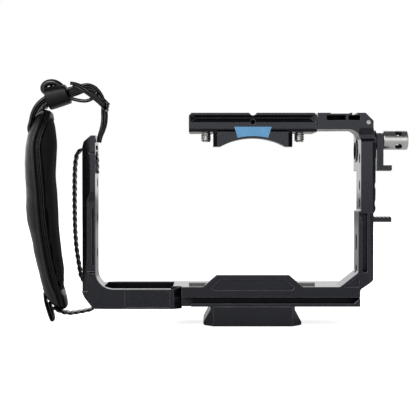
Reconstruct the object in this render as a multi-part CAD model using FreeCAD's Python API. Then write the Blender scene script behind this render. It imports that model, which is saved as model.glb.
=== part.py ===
import FreeCAD, Part
import os
from math import cos, pi, radians, sin, sqrt, tan

from FreeCAD import Vector

# Camera cage with a quick-release plate, a cable clamp and a leather hand strap.
# X is to the right seen from the lens side, Y goes back towards the camera's screen, Z is up.
# The origin is the centre of the underside of the quick-release plate. Sizes are in millimetres.

# Camera bay
bay_width = 133.1
bay_height = 78.5
lens_to_grip_side = 79.7
lens_height_in_bay = 41.3

# Depths, each from the front
front_y = -22.0
base_depth = 42.0
arm_depth = 22.0
bracket_depth = 31.0
top_plate_depth = 36.0

# Gaps between pieces, and how far a cutting shape passes the face that it opens
fit_gap = 0.02
running_gap = 0.05
slide_gap = 0.1
seam_gap = 0.3
soft_gap = 0.3
head_gap = 0.2
over = 1.0

# Screws
thread_tap_radius = 2.55
thread_radius = 3.1
screw_undercut = 0.7
socket_share = 0.5
socket_sides = 6
socket_depth_share = 0.6
small_screw_radius = 1.5
small_screw_head_radius = 2.75
small_screw_head_height = 2.0
small_screw_end_gap = 0.4
small_screw_sides = 16
coin_slot_share = 0.3
coin_slot_half_width = 0.7

# Quick-release plate
release_height = 10.0
release_foot_width = 50.2
release_neck_width = 42.9
release_nose_width = 40.0
release_length = 46.0
release_nose_length = 9.0
release_lip_height = 1.6
release_edge_chamfer = 0.6
release_foot_height = 1.6
release_back_chamfer = 4.0
release_screw_spread = 15.0
release_thread_from_front = 9.0
release_slot_from_back = 10.0
release_slot_width = 3.2
release_slot_length = 14.0

# Base plate
base_thickness = 10.0
base_reach_to_grip = 36.1
base_reach_to_clamp = 54.4
hump_height = 6.0
hump_top_half_width = 18.4
hump_foot_half_width = 25.4
hump_thickness = 5.0
hump_corner_radius = 1.0
groove_height = 3.1
groove_depth = 3.0
groove_lip = 1.6
groove_run_out = 4.8
groove_end = 3.2
groove_end_rise = 2.0
groove_end_set_in = 0.8
panel_depth = 0.6
hump_panel_drop = 2.1
hump_panel_top_inset = 2.4
hump_panel_foot_inset = 4.6
hump_panel_below_top = 1.7
panel_corner = 1.2
pad_height = 1.2
pad_length = 9.0
pad_depth = 14.0
pad_centre_x = 28.0

# Clamp-side arm
arm_lower_thickness = 7.8
arm_upper_thickness = 7.6
arm_upper_shift = 1.2
arm_step_height = 37.4
arm_step_slope = 1.6
upper_chamfer = 1.8
lower_arm_chamfer = 2.1
corner_chamfer = 7.4
corner_chamfer_run = 9.4
corner_radius = 2.0
inner_corner_radius = 6.3
outer_corner_height = 3.2
foot_corner_drop = 1.4
foot_notch_rise = 1.0
arm_channel_from_inside = 1.9
arm_channel_width = 2.6
arm_channel_depth = 1.6
channel_hood_width = 4.4
channel_hood_height = 4.0
channel_hood_depth = 1.0
scallop_radius = 4.0
scallop_depth = 0.4
clamp_thread_heights = (85.2, 71.3, 62.3)
scallop_heights = clamp_thread_heights[1:]
clamp_thread_from_front = 7.0
clamp_slot_depth = 6.0
clamp_arm_slots = ((22.3, 8.7), (8.6, 4.2))

# Corner pocket under the clamp-side arm: (x from the arm's inner face, z from the base's top)
corner_pocket = ((-8.2, -1.2, 0.6), (-0.8, 4.9, 0.6), (0.3, 3.4), (0.2, 0.4), (-2.6, -2.4), (-7.1, -2.7, 0.5))

# Port window in the wall behind the clamp-side arm
port_window_width = 12.0
port_window_height = 9.0
port_window_back = 3.0
port_window_drop = 5.3
port_rim = 1.2
port_rim_proud = 0.5
port_wall_depth = 14.0
port_wall_height = 22.0
port_wall_thickness = 4.0

# Bracket over the camera
bracket_thickness = 8.3
bracket_set_in = 1.3
bracket_corner_chamfer = 4.0
corner_facet_depth = 2.0
corner_facet_top = 0.6
corner_facet_slope = 3.2
corner_facet_foot = 1.7
shelf_depth = 4.0
shelf_height = 2.5
shelf_below_top = 1.2
shelf_ends = ((4.5, 14.3), (15.5, 21.4))
bracket_top_step = 0.4
bracket_top_step_ends = (6.6, 16.4)
top_notch_from_outside = 12.0
top_notch_width = 2.4
top_notch_depth = 1.1
corner_pin_radius = 1.0
corner_pin_length = 6.0
corner_pin_from_outside = 3.8
corner_pin_drop = 4.8

# Top plate
top_thickness = 9.6
top_half_width = 32.4
top_corner_chamfer = 1.3
lower_chamfer = 1.6
trough_height = 3.9
trough_depth = 1.8
trough_from_top = 1.0
trough_end_slope = 3.6
trough_mouth_inset = 0.7
trough_floor_rise = 2.2
trough_floor_drop = 1.4
notch_radius = 1.9
notch_rise = 0.6
pin_hole_radius = 1.25
pin_hole_depth = 6.0
pin_hole_rise = 0.3
top_thread_spread = 12.0
top_thread_from_front = 28.0
top_screw_radius = 2.6
top_screw_head_radius = 4.6
top_screw_head_height = 3.0
top_screw_reach = 5.0
top_screw_from_end = 8.65
top_screw_from_front = 7.0

# Tongues that join the top plate to the bracket and the grip-side bracket to the base
tongue_length = 12.0
tongue_width = 24.0
tongue_centre_from_front = 21.0
tongue_screw_spread = 8.0
tongue_screw_reach = 6.0
base_tongue_height = 4.0
top_tongue_height = 2.6

# Lens saddle and nameplate
saddle_radius = 34.0
saddle_to_screw_gap = 1.05
saddle_foot_drop = 7.5
saddle_depth = 12.0
saddle_edge_chamfer = 2.2
saddle_setback = 0.6
saddle_web_depth = 6.0
saddle_web_thickness = 2.2
saddle_screw_spread = 12.0
nameplate_top_half_width = 9.4
nameplate_foot_half_width = 7.7
nameplate_thickness = 1.0
nameplate_overlap = 2.5
nameplate_rise_over_saddle = 1.0
nameplate_proud = 0.4

# Camera screw
camera_screw_reach = 4.5
camera_screw_head_radius = 6.0
camera_screw_head_height = 3.0
access_hole_margin = 0.6

# Grip-side bracket
loop_height = 10.0
loop_drop = 1.2
loop_front_wall = 6.0
loop_back_wall = 5.0
loop_end_wall = 4.4
loop_reach = 80.0
loop_end_slope = 4.0
loop_corner_chamfer = 4.0
loop_back_chamfer = 8.0
loop_opening_radius = 1.2
loop_panel_depth = 0.5
loop_panel_from_left = 9.0
loop_panel_from_right = 6.0
loop_panel_margin = 0.8
grip_arm_thickness = 6.8
grip_arm_top = 96.7
grip_arm_top_width = 2.2
grip_arm_shoulder = (0.7, 3.1)
grip_arm_shoulder_drop = 6.0
grip_corner = ((0.0, 8.2), (1.2, 5.6), (5.0, 0.8), (6.6, 0.0))
grip_inner_radius = 9.0
grip_foot_reach = 15.0
grip_foot_slope_reach = 12.9
grip_foot_slope_depth = 1.4
grip_front_flat = 2.5
grip_chamfer_depth = 3.0
grip_chamfer_foot = 9.0
grip_recess_foot = 17.7
grip_recess_top = 59.4
grip_recess_depth = 1.2
grip_recess_slope = 5.0
grip_pocket_foot = 22.0
grip_pocket_top = 51.0
grip_pocket_inset = 0.8
grip_pocket_depth = 0.8
grip_groove_height = 78.5
grip_groove_width = 1.0
grip_groove_depth = 0.6
holes_per_arm = 3
first_hole_height = 18.0
hole_pitch = 18.0
grip_thread_back = 4.0

# Cable clamp
clamp_axis_height = 94.6
clamp_axis_from_front = 12.0
clamp_guide_radius = 5.0
clamp_guide_cheek = 1.2
jaw_back_from_screw = 3.2
jaw_bar_thickness = 3.5
jaw_bar_width = 8.4
jaw_bar_above_screw = 3.1
jaw_grip_gap = 23.1
jaw_bar_length = 19.0
jaw_foot_height = 3.0
jaw_foot_reach = 4.3
jaw_to_knob_gap = 0.15
lower_jaw_reach = 9.7
lower_jaw_height = 2.9
tenon_depth = 3.0
tenon_half_width = 3.0
tooth_count = 5
tooth_height = 0.6
knob_radius = 4.95
knob_length = 12.7
knob_taper = 0.8
knob_cross_hole_radius = 1.65
knob_cross_hole_from_end = 5.0
knob_cross_hole_angles = (45, 135)
clamp_screw_radius = 1.5
clamp_screw_depth = 5.0

# Hand strap
strap_from_front = 11.0
webbing_width = 12.0
webbing_thickness = 1.2
webbing_clearance = 0.4
lace_width = 3.0
lace_thickness = 1.2
keeper_length = 10.5
keeper_height = 10.0
keeper_width = 17.0
keeper_wall = 1.2
keeper_tilt = 15.8
keeper_outer_radius = 2.6
loop_lace_thickness = 2.5
loop_lace_width = 6.0
rivet_radius = 0.9
rivet_height = 0.5
rivet_spread = 1.4
rivet_sides = 12
bulge_sides = 12
arc_share = 0.45
piping_thickness = 0.8
piping_proud = 0.6
lining_set_in = 0.4
tail_width = 8.0
tail_thickness = 0.8
tab_thickness = 1.4
tab_width = 5.6
knot_width = 3.0
knot_height = 2.4
knot_radius = 0.8
knot_front = 11.0
knot_back = 5.0

# Hand pad, from the top down: height, outer side, seam, half width
pad_sections = (
    (110.2, -108.3, -105.3, 5.0), (108.5, -109.9, -104.1, 7.5), (105.9, -111.8, -103.2, 10.5),
    (104.6, -112.4, -103.9, 11.5), (101.5, -113.9, -105.6, 13.5), (97.2, -115.2, -107.2, 15.3),
    (91.0, -116.3, -108.3, 16.8), (84.0, -116.7, -107.8, 17.5), (76.0, -116.5, -107.1, 18.0),
    (68.0, -116.1, -106.3, 18.0), (60.0, -116.2, -105.9, 17.8), (52.0, -115.4, -105.2, 17.3),
    (44.0, -113.4, -104.2, 16.4), (36.0, -112.0, -103.1, 15.0), (28.0, -110.1, -101.7, 13.2),
    (20.0, -108.2, -99.6, 11.0), (16.8, -107.4, -98.4, 10.0), (13.0, -105.5, -96.2, 8.6),
    (9.4, -102.3, -95.4, 7.4),
)

# Inner side of the lining, for each of the pad's sections below this height
lining_top_height = 105.0
lining_crowns = (-101.3, -100.9, -101.0, -101.2, -101.7, -102.2, -101.5, -101.0, -100.6, -99.9, -98.9, -97.7,
                 -96.5, -96.0)

# Places worked out from the sizes above
base_bottom = release_height
base_top = base_bottom + base_thickness
top_underside = base_top + bay_height
top_face = top_underside + top_thickness
lens_z = base_top + lens_height_in_bay
grip_inner_x = -lens_to_grip_side
grip_outer_x = grip_inner_x - grip_arm_thickness
clamp_inner_x = grip_inner_x + bay_width
base_back_y = front_y + base_depth
arm_back_y = front_y + arm_depth
bracket_back_y = front_y + bracket_depth
arm_step_z = base_top + arm_step_height
upper_inner_x = clamp_inner_x + arm_upper_shift
lower_outer_x = clamp_inner_x + arm_lower_thickness
upper_outer_x = upper_inner_x + arm_upper_thickness
groove_z = base_bottom + groove_lip
bracket_x = top_half_width + seam_gap
bracket_bottom = top_face - bracket_thickness
bracket_outer_x = upper_outer_x - bracket_set_in
tongue_y = front_y + tongue_centre_from_front
tongue_screw_ys = (tongue_y - tongue_screw_spread, tongue_y + tongue_screw_spread)
loop_top = base_top - loop_drop
loop_bottom = loop_top - loop_height
loop_right_x = -base_reach_to_grip
loop_left_x = -loop_reach
grip_screw_x = loop_right_x + tongue_screw_reach
bracket_screw_x = bracket_x + tongue_screw_reach
first_grip_thread_z = loop_top + first_hole_height
grip_thread_heights = [first_grip_thread_z + number * hole_pitch for number in range(holes_per_arm)]
top_screw_y = front_y + top_screw_from_front
top_screw_spread = top_half_width - top_screw_from_end
saddle_half_width = top_screw_spread - top_screw_radius - saddle_to_screw_gap
top_screw_head_z = top_face - top_screw_head_height - head_gap
saddle_y = front_y + saddle_setback
saddle_screw_y = saddle_y + saddle_depth
saddle_screw_z = top_face - small_screw_head_height - head_gap
bracket_screw_z = top_face - small_screw_head_height - head_gap
release_screw_z = base_bottom - release_height / 2
camera_screw_z = base_bottom + camera_screw_head_height
corner_pin_x = upper_outer_x - corner_pin_from_outside
corner_pin_z = top_face - corner_pin_drop
clamp_axis_y = front_y + clamp_axis_from_front
clamp_thread_y = front_y + clamp_thread_from_front
jaw_x = upper_outer_x + clamp_guide_cheek
knob_x = jaw_x + jaw_bar_thickness
jaw_top = clamp_axis_height + jaw_bar_above_screw
jaw_foot_z = jaw_top - jaw_bar_length
jaw_front_y = clamp_axis_y + jaw_back_from_screw - jaw_bar_width
jaw_travel = clamp_axis_height - knob_radius - jaw_foot_z - jaw_foot_height - jaw_to_knob_gap
lower_jaw_top = jaw_foot_z - jaw_grip_gap
strap_y = front_y + strap_from_front
strap_front = strap_y - webbing_width / 2
strap_back = strap_y + webbing_width / 2
webbing_inner_x = grip_inner_x + soft_gap + webbing_thickness / 2
straight_up = (0, 0, 1)
straight_down = (0, 0, -1)
outwards = (1, 0, 0)
backwards = (0, 1, 0)

# Route of the webbing: down inside the arm, out through its slot, down, through the corner and under the pad
webbing_route = (
    (webbing_inner_x, 78.0), (webbing_inner_x, 90.8, 1.3), (-88.2, 90.0, 2.4), (-90.9, 85.5, 2.4),
    (-91.2, 64.0), (-90.8, 43.0), (-88.6, 28.5), (-87.6, 23.5, 1.5), (-82.4, 18.5, 2.0), (-80.9, 13.0, 2.0),
    (-80.9, 8.4, 1.4), (-85.6, 7.3, 1.5), (-89.3, 6.4), (-93.3, 5.8), (-97.4, 6.6), (-100.6, 7.5),
)
webbing_slot_runs = (webbing_route[:4], webbing_route[6:13])

# Laces: for each node the distance of a lace from the strap's middle and the lace's route
lace_routes = {
    "strap_lace_outer": [(-5.5, (
        (-114.3, 101.6), (-113.5, 104.2), (-111.3, 109.8), (-108.8, 113.6), (-104.9, 115.9), (-99.3, 117.9),
        (-91.5, 120.9), (-84.5, 122.9), (-79.9, 121.0), (-76.9, 116.6), (-75.6, 113.2)))],
    "strap_lace_inner": [(5.0, (
        (-112.6, 107.7), (-111.7, 109.0), (-109.4, 112.2), (-105.8, 114.2), (-99.3, 115.4), (-93.4, 118.0),
        (-87.0, 120.5), (-82.2, 119.6), (-78.6, 116.0), (-76.6, 113.2)))],
    "strap_lace_bight": [(-1.0, (
        (-101.0, 113.6), (-92.8, 115.6), (-86.6, 114.2), (-82.6, 115.2), (-80.6, 118.0)))],
    "strap_lace_tail": [(-9.2, (
        (-91.6, 122.9), (-88.4, 122.3), (-82.1, 118.3), (-78.3, 115.0), (-76.6, 113.1)))],
    "strap_lace_drop": [
        (-3.0, ((-76.0, 109.2), (-76.2, 103.8), (-77.2, 98.6), (-78.5, 92.4))),
        (2.5, ((-74.5, 109.2), (-74.9, 104.9), (-75.9, 100.1), (-77.9, 93.1)))],
}
loop_route = ((-107.2, 118.3), (-107.5, 121.2), (-105.4, 124.0), (-102.0, 124.7), (-98.6, 124.1))
tail_route = ((-107.7, 14.8), (-106.4, 9.6), (-104.5, 1.9, 0.7), (-102.1, 1.9, 0.7), (-102.9, 7.6))
tab_route = ((-106.9, 110.8), (-105.3, 113.0))
keeper_centre = (-99.3, 116.4)
knot_centre = (-74.9, 111.1)


def outline(spots, place):
    """Closed face; a spot is (a, b) or (a, b, radius), and place turns (a, b) into a point."""
    corners = [place(spot[0], spot[1]) for spot in spots]
    radii = [spot[2] if len(spot) == 3 else 0 for spot in spots]
    edges = []
    entries = []
    leaves = []
    for number, (corner, radius) in enumerate(zip(corners, radii)):
        if not radius:
            entries.append(corner)
            leaves.append(corner)
            continue
        way_back = (corners[number - 1] - corner).normalize()
        way_on = (corners[(number + 1) % len(corners)] - corner).normalize()
        half_angle = way_back.getAngle(way_on) / 2
        centre = corner + (way_back + way_on).normalize() * (radius / sin(half_angle))
        entries.append(corner + way_back * (radius / tan(half_angle)))
        leaves.append(corner + way_on * (radius / tan(half_angle)))
        middle = centre + (corner - centre).normalize() * radius
        edges.append(Part.Arc(entries[-1], middle, leaves[-1]).toShape())
    for leave, entry in zip(leaves, entries[1:] + entries[:1]):
        edges.append(Part.LineSegment(leave, entry).toShape())
    return Part.Face(Part.Wire(Part.__sortEdges__(edges)))


def box(x0, x1, y0, y1, z0, z1):
    """Block between two opposite corners."""
    return Part.makeBox(x1 - x0, y1 - y0, z1 - z0, Vector(x0, y0, z0))


def rod(x, y, z, direction, radius, length):
    """Cylinder that starts at a point and runs along a direction."""
    return Part.makeCylinder(radius, length, Vector(x, y, z), Vector(*direction))


def prism(spots, y0, y1):
    """Outline of (x, z) spots, pushed from y0 back to y1."""
    return outline(spots, lambda x, z: Vector(x, y0, z)).extrude(Vector(0, y1 - y0, 0))


def along_x(spots, x0, x1):
    """Outline of (y, z) spots, pushed from x0 to x1."""
    return outline(spots, lambda y, z: Vector(x0, y, z)).extrude(Vector(x1 - x0, 0, 0))


def upright(spots, z0, z1):
    """Outline of (x, y) spots, pushed from z0 up to z1."""
    return outline(spots, lambda x, y: Vector(x, y, z0)).extrude(Vector(0, 0, z1 - z0))


def corner_cut(x, y, x_reach, y_reach, z0, z1):
    """Three-sided bar that takes a vertical edge off; the reaches run inwards from the edge."""
    return upright([(x, y), (x + x_reach, y), (x, y + y_reach)], z0, z1)


def slot_across(x0, x1, y, z, width, height):
    """Round-ended slot through a wall along X; width is along Y."""
    radius = min(width, height) / 2
    side = max(width, height) / 2 - radius
    step = Vector(0, side, 0) if width > height else Vector(0, 0, side)
    centre = Vector(x0, y, z)
    ends = [Part.makeCylinder(radius, x1 - x0, centre + way, Vector(*outwards)) for way in (step, step * -1)]
    half = Vector(0, side if width > height else radius, radius if width > height else side)
    middle = box(x0, x1, y - half.y, y + half.y, z - half.z, z + half.z)
    return middle.fuse(ends)


def slot_upwards(x, y, z, width, length, height):
    """Round-ended slot along X, cut straight up from a height."""
    radius = width / 2
    side = length / 2 - radius
    ends = [rod(x + way * side, y, z, straight_up, radius, height) for way in (-1, 1)]
    return box(x - side, x + side, y - radius, y + radius, z, z + height).fuse(ends)


def rounded_route(points):
    """Straight runs joined by tangent arcs; a point is (x, z) or (x, z, tangent length)."""
    spots = [Vector(point[0], 0, point[1]) for point in points]
    pieces = []
    start = spots[0]
    for number in range(1, len(spots) - 1):
        before, corner, after = spots[number - 1:number + 2]
        way_in = (corner - before).normalize()
        way_out = (after - corner).normalize()
        reach = arc_share * min(before.distanceToPoint(corner), corner.distanceToPoint(after))
        if len(points[number]) == 3:
            reach = points[number][2]
        radius = reach / tan(way_in.getAngle(way_out) / 2)
        side = 1 if way_in.cross(way_out).y > 0 else -1
        entry = corner - way_in * reach
        leave = corner + way_out * reach
        centre = entry + Vector(way_in.z, 0, -way_in.x) * side * radius
        middle = centre + (corner - centre).normalize() * radius
        pieces.append(("run", (start, entry), centre, side))
        pieces.append(("arc", (entry, middle, leave), centre, side))
        start = leave
    pieces.append(("run", (start, spots[-1]), spots[-1], 0))
    return pieces


def offset_edges(pieces, distance):
    """Edges that lie a distance to the right of a rounded route."""
    edges = []
    for kind, spots, centre, side in pieces:
        if kind == "run":
            way = (spots[1] - spots[0]).normalize()
            shift = Vector(way.z, 0, -way.x) * distance
            edges.append(Part.LineSegment(spots[0] + shift, spots[1] + shift).toShape())
        else:
            radius = centre.distanceToPoint(spots[0])
            scale = (radius - distance * side) / radius
            edges.append(Part.Arc(*[centre + (spot - centre) * scale for spot in spots]).toShape())
    return edges


def band(points, thickness, y0, y1):
    """Flat strap on edge that follows (x, z) points between two depths."""
    pieces = rounded_route(points)
    near = offset_edges(pieces, thickness / 2)
    far = offset_edges(pieces, -thickness / 2)
    start = Part.LineSegment(far[0].firstVertex().Point, near[0].firstVertex().Point).toShape()
    end = Part.LineSegment(near[-1].lastVertex().Point, far[-1].lastVertex().Point).toShape()
    sides = Part.Wire(Part.__sortEdges__([start] + near + [end] + far))
    solid = Part.Face(sides).extrude(Vector(0, y1 - y0, 0))
    solid.translate(Vector(0, y0, 0))
    return solid


def sided_bar(x, y, z, direction, radius, length, sides):
    """Bar with flat sides, for sockets and for small round shapes that repeat."""
    way = Vector(*direction)
    side = Vector(*(outwards if way.y else backwards)) * radius
    turns = [FreeCAD.Rotation(way, 360 * number / sides) for number in range(sides)]
    corners = [Vector(x, y, z) + turn.multVec(side) for turn in turns]
    return Part.Face(Part.makePolygon(corners + corners[:1])).extrude(way * length)


def slotted_screw(x, y, z, direction, radius, length, head_radius, head_height):
    """Screw with a coin slot, whose head's underside is at the given point."""
    way = Vector(*direction)
    head_end = z - way.z * head_height
    slot_end = head_end + way.z * head_height * coin_slot_share
    slot = box(x - head_radius - over, x + head_radius + over, y - coin_slot_half_width,
               y + coin_slot_half_width, min(head_end, slot_end), max(head_end, slot_end))
    shank = rod(x, y, z, direction, radius, length)
    return shank.fuse(rod(x, y, z, way * -1, head_radius, head_height)).cut(slot)


def screw_pocket(x, y, z, direction, radius, length, head_radius, head_length):
    """Stepped hole that a screw sits in; the head's part opens against the direction."""
    way = Vector(*direction)
    shank = rod(x, y, z, direction, radius, length)
    return shank.fuse(rod(x, y, z, way * -1, head_radius, head_length))


def small_shank(x, y, z, direction, length, gap=0.0):
    """Shank of a small screw, or its hole if there is a gap."""
    return sided_bar(x, y, z, direction, small_screw_radius + gap, length, small_screw_sides)


def small_screw_hole(x, y, z, direction, length, head_length):
    """Stepped hole of a small socket screw."""
    head = sided_bar(x, y, z, Vector(*direction) * -1, small_screw_head_radius + fit_gap, head_length,
                     small_screw_sides)
    return small_shank(x, y, z, direction, length, fit_gap).fuse(head)


def small_screw(x, y, z, direction, length):
    """Small socket screw whose head's underside is at the given point."""
    way = Vector(*direction)
    head = sided_bar(x, y, z, way * -1, small_screw_head_radius, small_screw_head_height, small_screw_sides)
    socket = sided_bar(x, y, z - way.z * small_screw_head_height, direction,
                       small_screw_head_radius * socket_share, small_screw_head_height * socket_depth_share,
                       socket_sides)
    return small_shank(x, y, z, direction, length).fuse(head).cut(socket)


def base_plate():
    """Base under the camera, with the raised front under the lens."""
    left = loop_right_x
    right = base_reach_to_clamp
    plate = box(left, right, front_y, base_back_y, base_bottom, base_top)
    hump_top = base_top + hump_height
    hump = prism([(-hump_foot_half_width, base_top - over), (-hump_foot_half_width, base_top),
                  (-hump_top_half_width, hump_top, hump_corner_radius),
                  (hump_top_half_width, hump_top, hump_corner_radius),
                  (hump_foot_half_width, base_top), (hump_foot_half_width, base_top - over)],
                 front_y, front_y + hump_thickness)
    top = hump_top - hump_panel_drop
    foot = base_top - hump_panel_below_top
    top_half = hump_top_half_width - hump_panel_top_inset
    foot_half = hump_foot_half_width - hump_panel_foot_inset
    panel = prism([(-top_half, top, hump_corner_radius), (top_half, top, hump_corner_radius),
                   (foot_half, foot + panel_corner), (foot_half - panel_corner, foot),
                   (panel_corner - foot_half, foot), (-foot_half, foot + panel_corner)],
                  front_y - over, front_y + panel_depth)
    return plate.fuse(hump).cut(panel)


def base_groove():
    """Groove along the front edge of the base, open on the left and curved up on the right."""
    left = loop_right_x
    right = base_reach_to_clamp
    groove_top = groove_z + groove_height
    groove_back = front_y + groove_depth
    groove_right = right - groove_end
    groove = box(left - over, groove_right, front_y - over, groove_back, groove_z, groove_top)
    run_out = box(left - over, left + groove_run_out, front_y - over, groove_back, base_bottom - over,
                  groove_top)
    hook = prism([(groove_right - over, groove_z), (groove_right, groove_z),
                  (right - groove_end_set_in, groove_z + groove_end_rise), (right + over, groove_top),
                  (groove_right - over, groove_top)], front_y - over, groove_back)
    return [groove, run_out, hook]


def lower_arm():
    """Lower arm on the clamp side, down to the base, with its front channel."""
    right = base_reach_to_clamp
    notch_z = base_bottom + foot_notch_rise
    root_x = clamp_inner_x - corner_chamfer_run
    spots = [
        (clamp_inner_x, arm_step_z + over), (clamp_inner_x, base_top + corner_chamfer, corner_radius),
        (root_x, base_top), (root_x, notch_z), (right, notch_z),
        (right, base_top - foot_corner_drop, corner_radius),
        (lower_outer_x, base_top + outer_corner_height, corner_radius), (lower_outer_x, arm_step_z + over),
    ]
    arm = prism(spots, front_y, arm_back_y)
    channel_x = clamp_inner_x + arm_channel_from_inside
    channel_foot = base_top + corner_chamfer
    channel = prism([(channel_x, channel_foot, 1.0), (channel_x + arm_channel_width, channel_foot, 1.0),
                     (channel_x + arm_channel_width, arm_step_z), (channel_x, arm_step_z)],
                    front_y - over, front_y + arm_channel_depth)
    hood_foot = arm_step_z - channel_hood_height
    hood = prism([(channel_x + arm_channel_width - channel_hood_width, arm_step_z),
                  (channel_x, hood_foot), (channel_x + arm_channel_width, hood_foot),
                  (channel_x + arm_channel_width, arm_step_z)], front_y - over, front_y + channel_hood_depth)
    edge = corner_cut(lower_outer_x, front_y, -lower_arm_chamfer, lower_arm_chamfer, base_top,
                      arm_step_z + over)
    pocket = prism([(clamp_inner_x + spot[0], base_top + spot[1], *spot[2:]) for spot in corner_pocket],
                   front_y - over, front_y + panel_depth)
    arm = arm.cut([channel, hood, edge, pocket])
    slots = [slot_across(clamp_inner_x - over, lower_outer_x + over, strap_y, base_top + height,
                         clamp_slot_depth, tall) for height, tall in clamp_arm_slots]
    return arm.cut(slots)


def upper_arm():
    """Upper arm and the bracket that turns over the camera, with the chamfers on its outside."""
    spots = [
        (upper_inner_x, bracket_bottom, inner_corner_radius), (upper_inner_x, arm_step_z + arm_step_slope),
        (clamp_inner_x, arm_step_z), (lower_outer_x, arm_step_z),
        (upper_outer_x, arm_step_z + arm_step_slope), (upper_outer_x, bracket_bottom - inner_corner_radius),
        (bracket_outer_x, bracket_bottom + over), (bracket_outer_x, top_face - bracket_corner_chamfer),
        (bracket_outer_x - bracket_corner_chamfer, top_face), (bracket_x, top_face),
        (bracket_x, bracket_bottom),
    ]
    arm = prism(spots, front_y, arm_back_y)
    above = box(bracket_x, upper_outer_x, front_y, bracket_back_y, bracket_bottom, top_face)
    arm = arm.fuse(prism(spots, front_y, bracket_back_y).common(above))
    facet_top = bracket_bottom + corner_facet_top
    facet_foot = bracket_bottom - inner_corner_radius
    facet_y = front_y + corner_facet_depth
    edge = corner_cut(upper_outer_x, front_y, -upper_chamfer, upper_chamfer, arm_step_z, facet_foot)
    facet = along_x([(front_y, facet_top), (facet_y, facet_top - corner_facet_slope),
                     (facet_y, facet_foot + corner_facet_foot), (front_y, facet_foot)],
                    upper_inner_x - over, upper_outer_x + over)
    scallops = [rod(upper_outer_x + scallop_radius - scallop_depth, front_y - over, height, backwards,
                    scallop_radius, arm_depth + 2 * over) for height in scallop_heights]
    return arm.cut([edge, facet] + scallops)


def bracket_cuts():
    """Shelves, stepped top, notch and pin hole of the bracket over the camera."""
    shelf_top = top_face - shelf_below_top
    cuts = [box(bracket_x + near, bracket_x + far, front_y - over, front_y + shelf_depth,
                shelf_top - shelf_height, shelf_top) for near, far in shelf_ends]
    near, far = bracket_top_step_ends
    cuts.append(box(bracket_x + near, bracket_x + far, front_y - over, bracket_back_y + over,
                    top_face - bracket_top_step, top_face + over))
    notch_x = upper_outer_x - top_notch_from_outside
    cuts.append(box(notch_x, notch_x + top_notch_width, front_y - over, bracket_back_y + over,
                    top_face - top_notch_depth, top_face + over))
    cuts.append(rod(corner_pin_x, front_y - over, corner_pin_z, backwards, corner_pin_radius + fit_gap,
                    corner_pin_length + over))
    return cuts


def port_wall():
    """Wall behind the upper arm, whose window leaves the camera's port free."""
    top = bracket_bottom + over
    return box(upper_inner_x, upper_inner_x + port_wall_thickness, arm_back_y - over,
               arm_back_y + port_wall_depth, top - port_wall_height, top)


def port_slot(x0, x1, margin):
    """Round-ended bar as large as the port window and a margin around it."""
    return slot_across(x0, x1, arm_back_y + port_window_back, clamp_axis_height - port_window_drop,
                       port_window_width + 2 * margin, port_window_height + 2 * margin)


def tongue(x, height, z):
    """Tongue that joins two pieces."""
    return box(x, x + tongue_length, tongue_y - tongue_width / 2, tongue_y + tongue_width / 2, z, z + height)


def tongue_pocket(x, reach, z0, z1):
    """Room for a joint tongue, open on one face."""
    return box(x - over, x + reach + fit_gap, tongue_y - tongue_width / 2 - fit_gap,
               tongue_y + tongue_width / 2 + fit_gap, z0, z1)


def cage_frame():
    """One machined piece: base, clamp-side arm and the bracket over the camera."""
    rim = port_slot(upper_inner_x - port_rim_proud, upper_inner_x + over, port_rim)
    frame = base_plate().fuse([lower_arm(), upper_arm(), port_wall(), rim]).removeSplitter()
    cuts = bracket_cuts() + base_groove()
    cuts.append(port_slot(upper_inner_x - over, upper_outer_x + over, 0))
    cuts.append(tongue_pocket(loop_right_x, tongue_length, base_bottom - over,
                              base_bottom + base_tongue_height + fit_gap))
    cuts.append(tongue_pocket(bracket_x, tongue_length - seam_gap, bracket_bottom - over,
                              bracket_bottom + top_tongue_height + fit_gap))
    cuts.append(screw_pocket(0, 0, camera_screw_z + head_gap, straight_up, thread_radius + running_gap,
                             base_thickness, camera_screw_head_radius + running_gap, base_thickness))
    for side in (-1, 1):
        cuts.append(small_shank(side * release_screw_spread, strap_y, base_bottom - over, straight_up,
                                release_height / 2 + 2 * over, fit_gap))
    for y in tongue_screw_ys:
        cuts.append(small_shank(grip_screw_x, y, base_bottom, straight_up,
                                base_tongue_height + small_screw_radius * 2, fit_gap))
        cuts.append(small_screw_hole(bracket_screw_x, y, bracket_screw_z, straight_down, bracket_thickness,
                                     small_screw_head_height + over))
    for height in clamp_thread_heights:
        cuts.append(rod(upper_inner_x - over, clamp_thread_y, height, outwards, thread_tap_radius,
                        arm_upper_thickness + 2 * over))
    cuts.append(rod(upper_outer_x - clamp_screw_depth, clamp_axis_y, clamp_axis_height, outwards,
                    clamp_screw_radius + running_gap, clamp_screw_depth + over))
    cuts.append(lower_jaw_seat())
    return frame.cut(cuts)


def corner_pin():
    """Steel pin in the bracket's outer corner, flush with the front."""
    pin = rod(corner_pin_x, front_y, corner_pin_z, backwards, corner_pin_radius, corner_pin_length - fit_gap)
    return pin.cut(sided_bar(corner_pin_x, front_y, corner_pin_z, backwards, corner_pin_radius * socket_share,
                             corner_pin_radius, socket_sides))


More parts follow.
